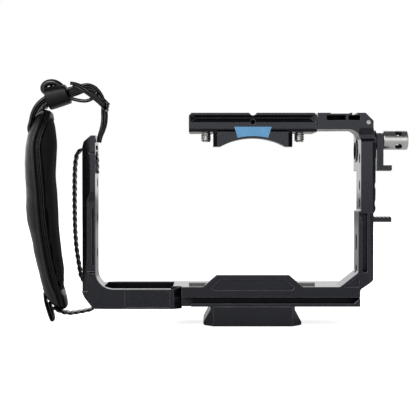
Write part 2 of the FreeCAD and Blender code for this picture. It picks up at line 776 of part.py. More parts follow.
def top_plate():
    """Top plate with the bevelled trough on its front, the through groove and the screw seats."""
    half = top_half_width
    back = front_y + top_plate_depth
    cut = top_corner_chamfer
    spots = [(-half, top_underside), (half, top_underside), (half, top_face - cut), (half - cut, top_face),
             (cut - half, top_face), (-half, top_face - cut)]
    plate = prism(spots, front_y, back)
    chamfer = along_x([(front_y, top_underside), (front_y + lower_chamfer, top_underside),
                       (front_y, top_underside + lower_chamfer)], -half, half)
    trough_top = top_face - trough_from_top
    trough_foot = trough_top - trough_height
    groove = rod(0, front_y - over, top_face + notch_rise, backwards, notch_radius,
                 top_plate_depth + 2 * over)
    pin_hole = rod(0, front_y - over, trough_foot + pin_hole_rise, backwards, pin_hole_radius, pin_hole_depth)
    plate = plate.cut([chamfer, trough(trough_foot, trough_top), groove, pin_hole])
    plate = plate.fuse(tongue(half, top_tongue_height, bracket_bottom)).removeSplitter()
    cuts = [nameplate(fit_gap)]
    for side in (-1, 1):
        cuts.append(screw_pocket(side * top_screw_spread, top_screw_y, top_screw_head_z, straight_down,
                                 top_screw_radius + running_gap, top_thickness,
                                 top_screw_head_radius + running_gap, top_screw_head_height + over))
        cuts.append(small_screw_hole(side * saddle_screw_spread, saddle_screw_y, saddle_screw_z,
                                     straight_down, top_thickness, small_screw_head_height + over))
        cuts.append(rod(side * top_thread_spread, front_y + top_thread_from_front, top_underside - over,
                        straight_up, thread_tap_radius, top_thickness + 2 * over))
    for y in tongue_screw_ys:
        cuts.append(small_shank(bracket_screw_x, y, bracket_bottom - over, straight_up,
                                top_tongue_height + 2 * over, fit_gap))
    return plate.cut(cuts)


def trough(foot, top):
    """Sloping-sided trough along the top plate's front."""
    half = top_half_width
    mouth = (half - trough_mouth_inset, foot, top, front_y)
    floor = (half - trough_end_slope, foot + trough_floor_rise, top - trough_floor_drop,
             front_y + trough_depth)
    loops = []
    for reach, z0, z1, y in (mouth, floor):
        spots = [Vector(x, y, z) for x, z in ((-reach, z0), (reach, z0), (reach, z1), (-reach, z1))]
        loops.append(Part.makePolygon(spots + spots[:1]))
    return Part.makeLoft(loops, True, True)


def lens_saddle():
    """Curved brace under the top plate that follows the lens mount."""
    half = saddle_half_width
    foot = top_underside - saddle_foot_drop
    block = box(-half, half, saddle_y, saddle_screw_y, foot, top_underside)
    arch = rod(0, saddle_y - over, lens_z, backwards, saddle_radius, saddle_depth + 2 * over)
    cut = saddle_edge_chamfer
    corners = [corner_cut(side * half, saddle_y, -side * cut, cut, foot, top_underside) for side in (-1, 1)]
    web = box(-half, half, saddle_screw_y - over, saddle_screw_y + saddle_web_depth,
              top_underside - saddle_web_thickness, top_underside)
    saddle = block.cut([arch] + corners).fuse(web).removeSplitter()
    holes = [small_shank(side * saddle_screw_spread, saddle_screw_y, foot - over, straight_up,
                         saddle_foot_drop + 2 * over, fit_gap) for side in (-1, 1)]
    return saddle.cut(holes + [nameplate(fit_gap)])


def nameplate(gap=0.0):
    """Bare coloured plate on the front of the saddle, with a curved lower edge."""
    top = top_underside + nameplate_overlap + gap
    radius = saddle_radius + nameplate_rise_over_saddle - gap
    foot_half = nameplate_foot_half_width + gap
    top_half = nameplate_top_half_width + gap
    foot = lens_z + sqrt(radius ** 2 - foot_half ** 2)
    y0 = front_y - nameplate_proud
    spots = [Vector(foot_half, y0, foot), Vector(top_half, y0, top), Vector(-top_half, y0, top),
             Vector(-foot_half, y0, foot)]
    edges = [Part.LineSegment(a, b).toShape() for a, b in zip(spots, spots[1:])]
    edges.append(Part.Arc(spots[-1], Vector(0, y0, lens_z + radius), spots[0]).toShape())
    return Part.Face(Part.Wire(edges)).extrude(Vector(0, nameplate_thickness + gap, 0))


def saddle_screws():
    """Two socket screws that hold the saddle under the top plate."""
    length = saddle_screw_z - top_underside + saddle_web_thickness
    return [small_screw(side * saddle_screw_spread, saddle_screw_y, saddle_screw_z, straight_down, length)
            for side in (-1, 1)]


def top_screw(side):
    """Captive screw whose threaded end enters the top of the camera; its shank is undercut."""
    x = side * top_screw_spread
    length = top_screw_head_z - top_underside + head_gap
    screw = slotted_screw(x, top_screw_y, top_screw_head_z, straight_down, top_screw_radius - screw_undercut,
                          length, top_screw_head_radius, top_screw_head_height)
    return screw.fuse(rod(x, top_screw_y, top_underside - head_gap, straight_down, top_screw_radius,
                          top_screw_reach - head_gap))


def bracket_screws():
    """Two socket screws that join the top plate's tongue to the bracket."""
    length = bracket_screw_z - bracket_bottom - small_screw_end_gap
    return [small_screw(bracket_screw_x, y, bracket_screw_z, straight_down, length) for y in tongue_screw_ys]


def quick_release_plate():
    """Dovetail plate under the base, narrow at the neck and wide at the foot."""
    neck = release_neck_width / 2
    foot = release_foot_width / 2
    neck_z = release_height - release_lip_height
    edge = release_edge_chamfer
    side = [(foot - edge, 0), (foot, edge), (foot, release_foot_height), (neck, neck_z),
            (neck, release_height)]
    profile = side + [(-x, z) for x, z in reversed(side)]
    back = front_y + release_length
    nose = release_nose_width / 2
    reach = foot + over
    cut = release_back_chamfer + over
    nose_back = front_y + release_nose_length
    plan = [(-nose, front_y), (nose, front_y), (reach, nose_back), (reach, back - cut), (reach - cut, back),
            (cut - reach, back), (-reach, back - cut), (-reach, nose_back)]
    plate = prism(profile, front_y, back).common(upright(plan, 0, release_height))
    height = release_height + 2 * over
    cuts = [rod(0, 0, -over, straight_up, camera_screw_head_radius + access_hole_margin, height)]
    cuts.append(slot_upwards(0, back - release_slot_from_back, -over, release_slot_width,
                             release_slot_length, height))
    cuts.append(rod(0, front_y + release_thread_from_front, -over, straight_up, thread_tap_radius, height))
    for way in (-1, 1):
        cuts.append(small_screw_hole(way * release_screw_spread, strap_y, release_screw_z, straight_up,
                                     release_height, release_height))
    return plate.cut(cuts)


def release_screws():
    """Two socket screws that hold the quick-release plate under the base."""
    length = release_height - release_screw_z + release_height / 2
    return [small_screw(way * release_screw_spread, strap_y, release_screw_z, straight_up, length)
            for way in (-1, 1)]


def camera_screw():
    """Captive screw in the base that enters the camera's tripod socket; its shank is undercut."""
    thread_z = base_top + head_gap
    screw = slotted_screw(0, 0, camera_screw_z, straight_up, thread_radius - screw_undercut,
                          thread_z - camera_screw_z, camera_screw_head_radius, camera_screw_head_height)
    return screw.fuse(rod(0, 0, thread_z, straight_up, thread_radius, camera_screw_reach - head_gap))


def base_pads():
    """Two rubber pads that the camera stands on."""
    return [box(side * pad_centre_x - pad_length / 2, side * pad_centre_x + pad_length / 2,
                -pad_depth / 2, pad_depth / 2, base_top, base_top + pad_height) for side in (-1, 1)]


def battery_loop():
    """Rectangular loop under the camera's grip, before its opening is cut."""
    left = loop_left_x
    right = loop_right_x
    block = box(left, right, front_y, base_back_y, loop_bottom, base_top)
    wall_back = front_y + loop_front_wall
    low_front = prism([(left - over, loop_top), (right - loop_end_slope, loop_top), (right, base_top),
                       (right, base_top + over), (left - over, base_top + over)], front_y - over, wall_back)
    corner = corner_cut(right, front_y, -loop_corner_chamfer, loop_corner_chamfer, loop_bottom, base_top)
    back_left = corner_cut(left, base_back_y, loop_back_chamfer, -loop_back_chamfer, loop_bottom, base_top)
    panel = box(left + loop_panel_from_left, right - loop_panel_from_right, front_y - over,
                front_y + loop_panel_depth, loop_bottom + loop_panel_margin, loop_top - loop_panel_margin)
    return block.cut([low_front, corner, back_left, panel])


def battery_opening():
    """Cutter for the loop's opening, up past the arm's rounded inner corner."""
    x0 = loop_left_x + loop_end_wall
    x1 = loop_right_x - loop_end_wall
    y0 = front_y + loop_front_wall
    y1 = base_back_y - loop_back_wall
    radius = loop_opening_radius
    return upright([(x0, y0, radius), (x1, y0, radius), (x1, y1, radius), (x0, y1, radius)],
                   loop_bottom - over, loop_top + grip_inner_radius + over)


def grip_arm():
    """Grip-side bracket: the battery loop, the upright arm and the tongue under the base."""
    foot_x = grip_inner_x + grip_foot_reach
    shoulder_x = grip_outer_x + grip_arm_shoulder[0]
    spots = [(grip_inner_x, grip_arm_top), (grip_inner_x - grip_arm_top_width, grip_arm_top),
             (shoulder_x, grip_arm_top - grip_arm_shoulder[1]),
             (grip_outer_x, grip_arm_top - grip_arm_shoulder_drop)]
    spots += [(grip_outer_x + x, loop_bottom + z) for x, z in grip_corner]
    spots += [(foot_x, loop_bottom), (foot_x, loop_top), (grip_inner_x, loop_top, grip_inner_radius)]
    arm = prism(spots, front_y, arm_back_y)
    flat_x = grip_inner_x - grip_front_flat
    chamfer_y = front_y + grip_chamfer_depth
    edge = upright([(grip_outer_x - over, front_y - over), (flat_x, front_y - over), (flat_x, front_y),
                    (grip_outer_x, chamfer_y), (grip_outer_x - over, chamfer_y)],
                   loop_bottom + grip_chamfer_foot, grip_arm_top + over)
    slope_z = grip_recess_top - grip_recess_slope
    recess = along_x([(front_y, loop_bottom + grip_recess_top),
                      (front_y + grip_recess_depth, loop_bottom + slope_z),
                      (front_y + grip_recess_depth, loop_bottom + grip_recess_foot + grip_recess_depth),
                      (front_y, loop_bottom + grip_recess_foot)], grip_outer_x - over, grip_inner_x + over)
    pocket_y = front_y + grip_recess_depth
    pocket = prism([(flat_x + grip_pocket_inset, loop_bottom + grip_pocket_foot),
                    (grip_inner_x - grip_pocket_inset, loop_bottom + grip_pocket_foot),
                    (grip_inner_x - grip_pocket_inset, loop_bottom + grip_pocket_top),
                    (flat_x + grip_pocket_inset, loop_bottom + grip_pocket_top)],
                   pocket_y - over, pocket_y + grip_pocket_depth)
    groove_z0 = loop_bottom + grip_groove_height
    groove = box(flat_x - over, grip_inner_x + over, front_y - over, front_y + grip_groove_depth,
                 groove_z0, groove_z0 + grip_groove_width)
    arm = arm.cut([edge, recess, pocket, groove])
    joint = tongue(loop_right_x, base_tongue_height, base_bottom)
    bracket = arm.fuse([battery_loop(), joint]).removeSplitter()
    gap = webbing_clearance
    cuts = [band(run, webbing_thickness + 2 * gap, strap_front - gap, strap_back + gap)
            for run in webbing_slot_runs]
    cuts.append(battery_opening())
    cuts.append(corner_cut(grip_outer_x, front_y, grip_foot_slope_reach, grip_foot_slope_depth,
                           loop_bottom - over, loop_bottom + grip_recess_foot))
    for height in grip_thread_heights:
        cuts.append(rod(grip_outer_x - over, strap_y + grip_thread_back, height, outwards, thread_tap_radius,
                        grip_arm_thickness + 2 * over))
    for y in tongue_screw_ys:
        cuts.append(small_screw_hole(grip_screw_x, y, base_bottom + small_screw_head_height, straight_up,
                                     base_tongue_height, small_screw_head_height + over))
    return bracket.cut(cuts)


def grip_screws():
    """Two socket screws that hold the grip-side bracket's tongue under the base."""
    length = base_tongue_height - small_screw_head_height + 2 * small_screw_radius - small_screw_end_gap
    return [small_screw(grip_screw_x, y, base_bottom + small_screw_head_height, straight_up, length)
            for y in tongue_screw_ys]


def clamp_guide():
    """Bush on the arm with a slot open to the front, in which the jaw's bar slides."""
    bush = rod(upper_outer_x, clamp_axis_y, clamp_axis_height, outwards, clamp_guide_radius,
               knob_x - upper_outer_x)
    slot = box(jaw_x - slide_gap, knob_x + over, jaw_front_y - clamp_guide_radius,
               clamp_axis_y + jaw_back_from_screw + slide_gap, clamp_axis_height - 2 * clamp_guide_radius,
               clamp_axis_height + 2 * clamp_guide_radius)
    bore = rod(upper_outer_x - over, clamp_axis_y, clamp_axis_height, outwards,
               clamp_screw_radius + running_gap, jaw_bar_thickness + clamp_guide_cheek + 2 * over)
    return bush.cut([slot, bore])


def teeth(x0, x1, tip_z, root_z):
    """Corners of a row of teeth from x0 to x1."""
    pitch = (x1 - x0) / tooth_count
    spots = []
    for number in range(tooth_count):
        spots.append((x0 + number * pitch, root_z))
        spots.append((x0 + (number + 1 / 2) * pitch, tip_z))
    spots.append((x1, root_z))
    return spots


def clamp_jaw():
    """L-shaped jaw with a toothed foot; its slot lets it slide past the clamp screw."""
    x0 = jaw_x + slide_gap
    x1 = knob_x - slide_gap
    end = x1 + jaw_foot_reach
    foot_top = jaw_foot_z + jaw_foot_height
    spots = teeth(x0, end, jaw_foot_z, jaw_foot_z + tooth_height)
    spots += [(end, foot_top), (x1, foot_top), (x1, jaw_top), (x0, jaw_top)]
    jaw = prism(spots, jaw_front_y, jaw_front_y + jaw_bar_width)
    length = jaw_bar_thickness + 2 * over
    tall = jaw_travel + 2 * (clamp_screw_radius + slide_gap)
    return jaw.cut(slot_across(x0 - over, x0 + length, clamp_axis_y, clamp_axis_height - jaw_travel / 2,
                               2 * (clamp_screw_radius + slide_gap), tall))


def lower_jaw_root(x1, gap):
    """Square root of the lower jaw, out to a distance from the arm."""
    return box(lower_outer_x - tenon_depth - gap, x1, clamp_axis_y - tenon_half_width - gap,
               clamp_axis_y + tenon_half_width + gap, lower_jaw_top - lower_jaw_height - gap,
               lower_jaw_top - tooth_height + gap)


def lower_jaw_seat():
    """Room for the lower jaw's root in the arm, and for its bar where the arm is thicker."""
    beside = box(lower_outer_x, upper_outer_x + over, jaw_front_y - fit_gap,
                 jaw_front_y + jaw_bar_width + fit_gap, lower_jaw_top - lower_jaw_height - fit_gap,
                 lower_jaw_top + fit_gap)
    return lower_jaw_root(lower_outer_x + over, fit_gap).fuse(beside)


def lower_jaw():
    """Fixed toothed bar that the plug rests on."""
    end = lower_outer_x + lower_jaw_reach
    bottom = lower_jaw_top - lower_jaw_height
    spots = teeth(lower_outer_x, end, lower_jaw_top, lower_jaw_top - tooth_height)
    spots += [(end, bottom), (lower_outer_x, bottom)]
    bar = prism(spots, jaw_front_y, jaw_front_y + jaw_bar_width)
    return bar.fuse(lower_jaw_root(lower_outer_x + over, 0)).removeSplitter()


def clamp_knob():
    """Knob with cross holes and its screw, which locks the jaw."""
    start = knob_x + slide_gap
    taper_x = start + knob_length - knob_taper
    body = rod(start, clamp_axis_y, clamp_axis_height, outwards, knob_radius, knob_length - knob_taper)
    tip = Part.makeCone(knob_radius, knob_radius - knob_taper, knob_taper,
                        Vector(taper_x, clamp_axis_y, clamp_axis_height), Vector(*outwards))
    screw_x = upper_outer_x - clamp_screw_depth + small_screw_end_gap
    screw = rod(screw_x, clamp_axis_y, clamp_axis_height, outwards, clamp_screw_radius,
                start + over - screw_x)
    knob = body.fuse([tip, screw])
    holes = []
    for angle in knob_cross_hole_angles:
        way = Vector(0, cos(radians(angle)), sin(radians(angle)))
        middle = Vector(start + knob_length - knob_cross_hole_from_end, clamp_axis_y, clamp_axis_height)
        begin = middle - way * 2 * knob_radius
        holes.append(Part.makeCylinder(knob_cross_hole_radius, 4 * knob_radius, begin, way))
    return knob.cut(holes)


def skin(loops):
    """Solid with flat triangles between loops that have the same number of corners."""
    faces = [Part.Face(Part.makePolygon(loop + loop[:1])) for loop in (loops[0], loops[-1])]
    for upper, lower in zip(loops, loops[1:]):
        for number in range(len(upper)):
            a, b = upper[number - 1], upper[number]
            c, d = lower[number], lower[number - 1]
            faces += [Part.Face(Part.makePolygon([*three, three[0]])) for three in ((a, b, c), (a, c, d))]
    shell = Part.makeShell(faces)
    shell.sewShape()
    solid = Part.makeSolid(shell)
    return solid if solid.Volume > 0 else solid.reversed()


def half_lens(z, flat_x, crown_x, half_width):
    """Section of a cushion: a straight seam side and a bulge that runs out to its crown."""
    spots = []
    for number in range(bulge_sides + 1):
        turn = pi * number / bulge_sides
        spots.append(Vector(flat_x + (crown_x - flat_x) * sin(turn), strap_y - half_width * cos(turn), z))
    return spots


def lined_sections():
    """Sections of the pad that have lining: height, seam, half width and the lining's inner side."""
    rows = [row for row in pad_sections if row[0] < lining_top_height]
    return [(z, seam, half, crown) for (z, _, seam, half), crown in zip(rows, lining_crowns)]


def strap_pad():
    """Leather outside of the hand pad, crowned away from the hand."""
    return skin([half_lens(z, seam, outer, half) for z, outer, seam, half in pad_sections])


def strap_lining():
    """Soft cushion on the hand's side of the pad."""
    shift = piping_thickness + 2 * soft_gap
    return skin([half_lens(z, seam + shift, crown, half - lining_set_in)
                 for z, seam, half, crown in lined_sections()])


def strap_piping():
    """Thin welt between the leather and the lining, just proud of both."""
    loops = []
    for z, seam, half, _ in lined_sections():
        reach = half + piping_proud
        x0 = seam + soft_gap
        x1 = x0 + piping_thickness
        corners = ((x0, -reach), (x1, -reach), (x1, reach), (x0, reach))
        loops.append([Vector(x, strap_y + y, z) for x, y in corners])
    return skin(loops)


def strap_keeper():
    """Leather sleeve that gathers the laces."""
    def tube(trim):
        x = keeper_width / 2 - trim
        z = keeper_height / 2 - trim
        radius = keeper_outer_radius - trim
        reach = keeper_length / 2 + trim
        return along_x([(-x, -z, radius), (x, -z, radius), (x, z, radius), (-x, z, radius)], -reach, reach)
    sleeve = tube(0).cut(tube(keeper_wall))
    sleeve.rotate(Vector(0, 0, 0), Vector(*backwards), -keeper_tilt)
    sleeve.translate(Vector(keeper_centre[0], strap_y, keeper_centre[1]))
    return sleeve


def laces(name):
    """Flat laces of one node."""
    solids = []
    for lane, route in lace_routes[name]:
        middle = strap_y + lane
        solids.append(band(route, lace_thickness, middle - lace_width / 2, middle + lace_width / 2))
    return solids


def strap_knot():
    """Wrapped knot that gathers the laces above the arm."""
    x, z = knot_centre
    wide = knot_width / 2
    tall = knot_height / 2
    return prism([(x - wide, z - tall, knot_radius), (x + wide, z - tall, knot_radius),
                  (x + wide, z + tall, knot_radius), (x - wide, z + tall, knot_radius)],
                 strap_y - knot_front, strap_y + knot_back)


def strap_rivets():
    """Two small rivets through the tab at the top of the pad, each with a cap on both sides."""
    (x0, z0), (x1, z1) = tab_route
    way = Vector(z0 - z1, 0, x1 - x0).normalize()
    solids = []
    for side in (-1, 1):
        middle = Vector((x0 + x1) / 2, strap_y + side * rivet_spread, (z0 + z1) / 2)
        for facing in (-1, 1):
            start = middle + way * facing * (tab_thickness / 2 + soft_gap)
            solids.append(sided_bar(*start, way * facing, rivet_radius, rivet_height, rivet_sides))
    return solids


def mid_band(route, thickness, width):
    """Flat strap centred on the middle of the hand strap."""
    return band(route, thickness, strap_y - width / 2, strap_y + width / 2)


def save(name, shape):
    """Write one node; a list of solids becomes one file."""
    whole = Part.makeCompound(shape) if isinstance(shape, list) else shape
    for solid in whole.Solids:
        if not solid.isValid():
            print("not valid:", name)
    print(name, len(whole.Solids), round(sum(solid.Volume for solid in whole.Solids), 1))
    Part.makeCompound(whole.Solids).exportStep("parts/" + name + ".step")


def main():
    """Build every piece and write its file."""
    os.makedirs("parts", exist_ok=True)
    save("cage_frame", cage_frame())
    save("corner_pin", corner_pin())
    save("grip_arm", grip_arm())
    save("top_plate", top_plate())
    save("lens_saddle", lens_saddle())
    save("nameplate", nameplate())
    save("saddle_screws", saddle_screws())
    save("top_screw_left", top_screw(-1))
    save("top_screw_right", top_screw(1))
    save("bracket_screws", bracket_screws())
    save("quick_release_plate", quick_release_plate())
    save("release_screws", release_screws())
    save("camera_screw", camera_screw())
    save("base_pads", base_pads())
    save("grip_screws", grip_screws())
    save("clamp_guide", clamp_guide())
    save("clamp_jaw", clamp_jaw())
    save("clamp_knob", clamp_knob())
    save("lower_jaw", lower_jaw())
    save("strap_pad", strap_pad())
    save("strap_lining", strap_lining())
    save("strap_piping", strap_piping())
    save("strap_webbing", band(webbing_route, webbing_thickness, strap_front, strap_back))
    save("strap_keeper", strap_keeper())
    for name in lace_routes:
        save(name, laces(name))
    save("strap_knot", strap_knot())
    save("strap_top_loop", mid_band(loop_route, loop_lace_thickness, loop_lace_width))
    save("strap_tail", mid_band(tail_route, tail_thickness, tail_width))
    save("strap_tab", mid_band(tab_route, tab_thickness, tab_width))
    save("strap_rivets", strap_rivets())


main()
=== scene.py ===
"""Camera cage with its cable clamp, quick-release foot and leather hand strap, dressed and lit.

Shapes are written in millimetres. Finishes have lengths in metres and noise scales in cells per metre.
"""

import logging
from dataclasses import dataclass
from enum import Enum

import bpy
import numpy as np
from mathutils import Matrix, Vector


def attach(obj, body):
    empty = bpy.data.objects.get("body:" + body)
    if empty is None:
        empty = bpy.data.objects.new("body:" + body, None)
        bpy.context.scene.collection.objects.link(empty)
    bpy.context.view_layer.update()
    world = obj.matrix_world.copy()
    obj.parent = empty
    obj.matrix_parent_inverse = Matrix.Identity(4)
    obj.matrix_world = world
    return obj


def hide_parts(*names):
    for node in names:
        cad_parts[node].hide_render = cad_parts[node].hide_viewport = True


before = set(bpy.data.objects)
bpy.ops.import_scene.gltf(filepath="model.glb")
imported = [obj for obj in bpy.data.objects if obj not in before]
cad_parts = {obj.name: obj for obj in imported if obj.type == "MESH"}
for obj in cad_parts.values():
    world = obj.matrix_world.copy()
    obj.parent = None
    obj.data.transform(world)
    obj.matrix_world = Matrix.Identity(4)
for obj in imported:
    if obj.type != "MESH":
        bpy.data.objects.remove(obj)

logging.basicConfig(level=logging.INFO, format="%(name)s: %(message)s")
log = logging.getLogger("cage")

Material = bpy.types.Material
Socket = bpy.types.NodeSocket
Triple = tuple[float, float, float]

MM = 0.001
EDGE_SPAN = (0.86, 0.993)
HOLLOW_SPAN = (0.42, 0.80)
AXIS_CORE = 0.2
STRAP_Y = -11.0
WHITE = (1.0, 1.0, 1.0, 1.0)
ACROSS = np.array([1.0, 0.0, 0.0])
SIDE = np.array([0.0, 1.0, 0.0])


class Slot(str, Enum):
    """Names of material slots in the record, passed along with the pieces made here."""

    STEEL = "steel"
    LEATHER = "leather"
    LINING = "lining"
    WEBBING = "webbing"


class Body(str, Enum):
    """Bodies of the record that the pieces made here move with."""

    CAGE = "cage"
    KNOB = "knob"
    LEFT_SCREW = "left_top_screw"
    RIGHT_SCREW = "right_top_screw"
    TRIPOD_SCREW = "tripod_screw"


class Tree:
    """A node tree, with short calls to add and join nodes."""

    def __init__(self, owner: Material | bpy.types.World) -> None:
        """Start on the nodes of a new material or world."""
        owner.use_nodes = True
        self.tree = owner.node_tree

    def add(self, kind: str, inputs: dict | None = None, **settings: object) -> bpy.types.Node:
        """Add a node.

        Args:
            kind: node type without its ShaderNode prefix.
            inputs: socket name to a value, or to the output socket that feeds it.
            settings: properties of the node.

        Returns:
            The new node.
        """
        node = self.tree.nodes.new("ShaderNode" + kind)
        for name, value in settings.items():
            setattr(node, name, value)
        for name, value in (inputs or {}).items():
            self.feed(node.inputs[name], value)
        return node

    def feed(self, socket: Socket, value: object) -> None:
        """Set a socket to a value or link an output to it."""
        if isinstance(value, Socket):
            self.tree.links.new(value, socket)
        else:
            socket.default_value = value

    def math(self, operation: str, first: object, second: object = 0.0) -> Socket:
        """Result of one Math node."""
        node = self.add("Math", operation=operation)
        self.feed(node.inputs[0], first)
        self.feed(node.inputs[1], second)
        return node.outputs[0]

    def remap(self, value: Socket, low: float, high: float, start: float = 0.0,
              end: float = 1.0) -> Socket:
        """Value carried from the span start..end to the span low..high."""
        node = self.add("MapRange", {"Value": value, "From Min": start, "From Max": end, "To Min": low,
                                     "To Max": high})
        return node.outputs["Result"]


class Shader(Tree):
    """One material: a principled surface and the nodes that feed it."""

    def __init__(self, name: str) -> None:
        """Start a material with an empty principled surface."""
        self.material = bpy.data.materials.new(name)
        super().__init__(self.material)
        self.surface = self.tree.nodes["Principled BSDF"]

    def set(self, **values: object) -> None:
        """Set sockets of the surface; an underscore in a name stands for a space."""
        for name, value in values.items():
            self.feed(self.surface.inputs[name.replace("_", " ")], value)

    def place(self) -> Socket:
        """Object coordinates of the piece."""
        return self.add("TexCoord").outputs["Object"]

    def noise(self, place: Socket, scale: float, detail: float = 2.0) -> Socket:
        """Grey noise at a scale in cells per metre."""
        return self.add("TexNoise", {"Vector": place, "Scale": scale, "Detail": detail}).outputs["Fac"]

    def bump(self, height: Socket, distance: float, strength: float = 1.0,
             normal: Socket | None = None) -> Socket:
        """Normal of a height map, over another normal where one is given."""
        node = self.add("Bump", {"Height": height, "Distance": distance, "Strength": strength})
        if normal is not None:
            self.feed(node.inputs["Normal"], normal)
        return node.outputs["Normal"]

    def ramp(self, factor: Socket, stops: list[tuple[float, tuple]]) -> Socket:
        """Colour ramp over a factor.

        Args:
            factor: socket that drives the ramp.
            stops: position and colour of each stop.

        Returns:
            The colour output.
        """
        node = self.add("ValToRGB", {"Fac": factor})
        points = node.color_ramp.elements
        while len(points) < len(stops):
            points.new(0.5)
        for point, (position, colour) in zip(points, stops):
            point.position = position
            point.color = (*colour, 1.0)
        return node.outputs["Color"]

    def blend(self, factor: object, first: object, second: object) -> Socket:
        """Mix of two colours, each a socket or three numbers."""
        node = self.add("Mix", data_type="RGBA")
        self.feed(node.inputs[0], factor)
        for socket, colour in ((node.inputs[6], first), (node.inputs[7], second)):
            self.feed(socket, (*colour, 1.0) if isinstance(colour, tuple) else colour)
        return node.outputs[2]

    def edges(self, radius: float) -> tuple[Socket, Socket]:
        """Rounded edges of a machined solid.

        Args:
            radius: reach of the rounding in metres.

        Returns:
            The softened normal, and a factor that is 0 on faces and rises to 1 along edges.
        """
        soft = self.add("Bevel", {"Radius": radius}, samples=8).outputs["Normal"]
        plain = self.add("NewGeometry").outputs["Normal"]
        agree = self.add("VectorMath", operation="DOT_PRODUCT")
        self.feed(agree.inputs[0], soft)
        self.feed(agree.inputs[1], plain)
        return soft, self.remap(agree.outputs["Value"], 1.0, 0.0, *EDGE_SPAN)

    def open_share(self, reach: float) -> Socket:
        """Factor that is 1 on open faces and falls to 0 deep in grooves and holes of the same piece; it
        paints shade there.
        """
        hollow_shade = self.add("AmbientOcclusion", {"Distance": reach}, samples=8, only_local=True)
        return self.remap(hollow_shade.outputs["AO"], 0.0, 1.0, *HOLLOW_SPAN)


@dataclass(frozen=True)
class BlastedMetal:
    """Fine bead-blasted, anodised metal; its edges are painted lighter as a highlight, in patches like wear,
    and its grooves and holes get painted shade.
    """

    name: str
    colour: Triple = (0.0022, 0.0023, 0.0032)
    mottled: Triple = (0.0048, 0.0049, 0.0066)
    # Painted edge highlight colour.
    edge: Triple = (0.125, 0.125, 0.140)
    # Painted shade colour deep in grooves and holes.
    hollow_shade: Triple = (0.0010, 0.0010, 0.0013)
    roughness: float = 0.14
    grain: float = 0.000005
    speck_scale: float = 3200.0
    cloud_scale: float = 60.0
    highlight_and_wear_scale: float = 240.0
    blast_scale: float = 1500.0
    edge_radius: float = 0.00055
    hollow_reach: float = 0.0045

    def material(self) -> Material:
        """Build the material."""
        shader = Shader(self.name)
        place = shader.place()
        speck = shader.noise(place, self.speck_scale, 3.0)
        soft, rim = shader.edges(self.edge_radius)
        cloud = shader.noise(place, self.cloud_scale, 4.0)
        face = shader.ramp(cloud, [(0.3, self.colour), (0.75, self.mottled)])
        # Painted highlight: the edges blend towards the light edge colour, in patches like wear.
        highlight_and_wear_noise = shader.noise(place, self.highlight_and_wear_scale, 3.0)
        edge_highlight_and_wear = shader.math("MULTIPLY", rim, shader.remap(highlight_and_wear_noise, 0.55, 1.0, 0.3, 0.7))
        rough = shader.remap(speck, self.roughness - 0.03, self.roughness + 0.06)
        # Painted shade: darker colour and weaker reflection deep in grooves and holes.
        unshaded_share = shader.open_share(self.hollow_reach)
        blast = shader.remap(shader.noise(place, self.blast_scale, 3.0), 0.40, 0.66, 0.3, 0.7)
        colour = shader.blend(unshaded_share, self.hollow_shade, shader.blend(edge_highlight_and_wear, face, self.edge))
        shader.set(Base_Color=colour, Roughness=rough, IOR=1.60,
                   Specular_Tint=(0.86, 0.88, 1.0, 1.0),
                   Specular_IOR_Level=shader.math("MULTIPLY", blast, unshaded_share),
                   Normal=shader.bump(speck, self.grain, 0.4, soft))
        return shader.material


@dataclass(frozen=True)
class PaintedPlate:
    """Satin light-blue enamel over fine metal grain, with a painted highlight along its edges."""

    name: str = "blue_enamel"
    colour: Triple = (0.098, 0.285, 0.500)
    deep: Triple = (0.082, 0.255, 0.460)
    # Painted edge highlight colour.
    edge: Triple = (0.45, 0.62, 0.80)
    roughness: float = 0.50
    grain: float = 0.00003
    grain_scale: float = 4000.0
    cloud_scale: float = 420.0
    edge_radius: float = 0.0003

    def material(self) -> Material:
        """Build the material."""
        shader = Shader(self.name)
        place = shader.place()
        soft, rim = shader.edges(self.edge_radius)
        cloud = shader.noise(place, self.cloud_scale, 4.0)
        face = shader.ramp(cloud, [(0.35, self.deep), (0.7, self.colour)])
        grain = shader.noise(place, self.grain_scale)
        # Painted highlight: the edges blend halfway to the pale edge colour.
        shader.set(Base_Color=shader.blend(shader.math("MULTIPLY", rim, 0.5), face, self.edge),
                   Roughness=self.roughness, Normal=shader.bump(grain, self.grain, 0.4, soft))
        return shader.material


@dataclass(frozen=True)
class TurnedSteel:
    """Bright steel with fine tool marks across the way it was turned."""

    name: str
    marks: Triple = (9000.0, 300.0, 300.0)
    colour: Triple = (0.80, 0.785, 0.76)
    shade: float = 0.85
    roughness: float = 0.24
    mark_depth: float = 0.00003
    cloud_scale: float = 180.0
    edge_radius: float = 0.00020

    def material(self) -> Material:
        """Build the material."""
        shader = Shader(self.name)
        place = shader.place()
        drawn = shader.add("VectorMath", {0: place, 1: self.marks}, operation="MULTIPLY").outputs["Vector"]
        mark = shader.noise(drawn, 1.0, 3.0)
        cloud = shader.noise(place, self.cloud_scale, 3.0)
        soft = shader.add("Bevel", {"Radius": self.edge_radius}, samples=6).outputs["Normal"]
        shade = tuple(self.shade * channel for channel in self.colour)
        shader.set(Base_Color=shader.ramp(cloud, [(0.3, shade), (0.7, self.colour)]), Metallic=1.0,
                   Roughness=shader.remap(mark, self.roughness - 0.06, self.roughness + 0.12),
                   Normal=shader.bump(mark, self.mark_depth, 0.5, soft))
        return shader.material


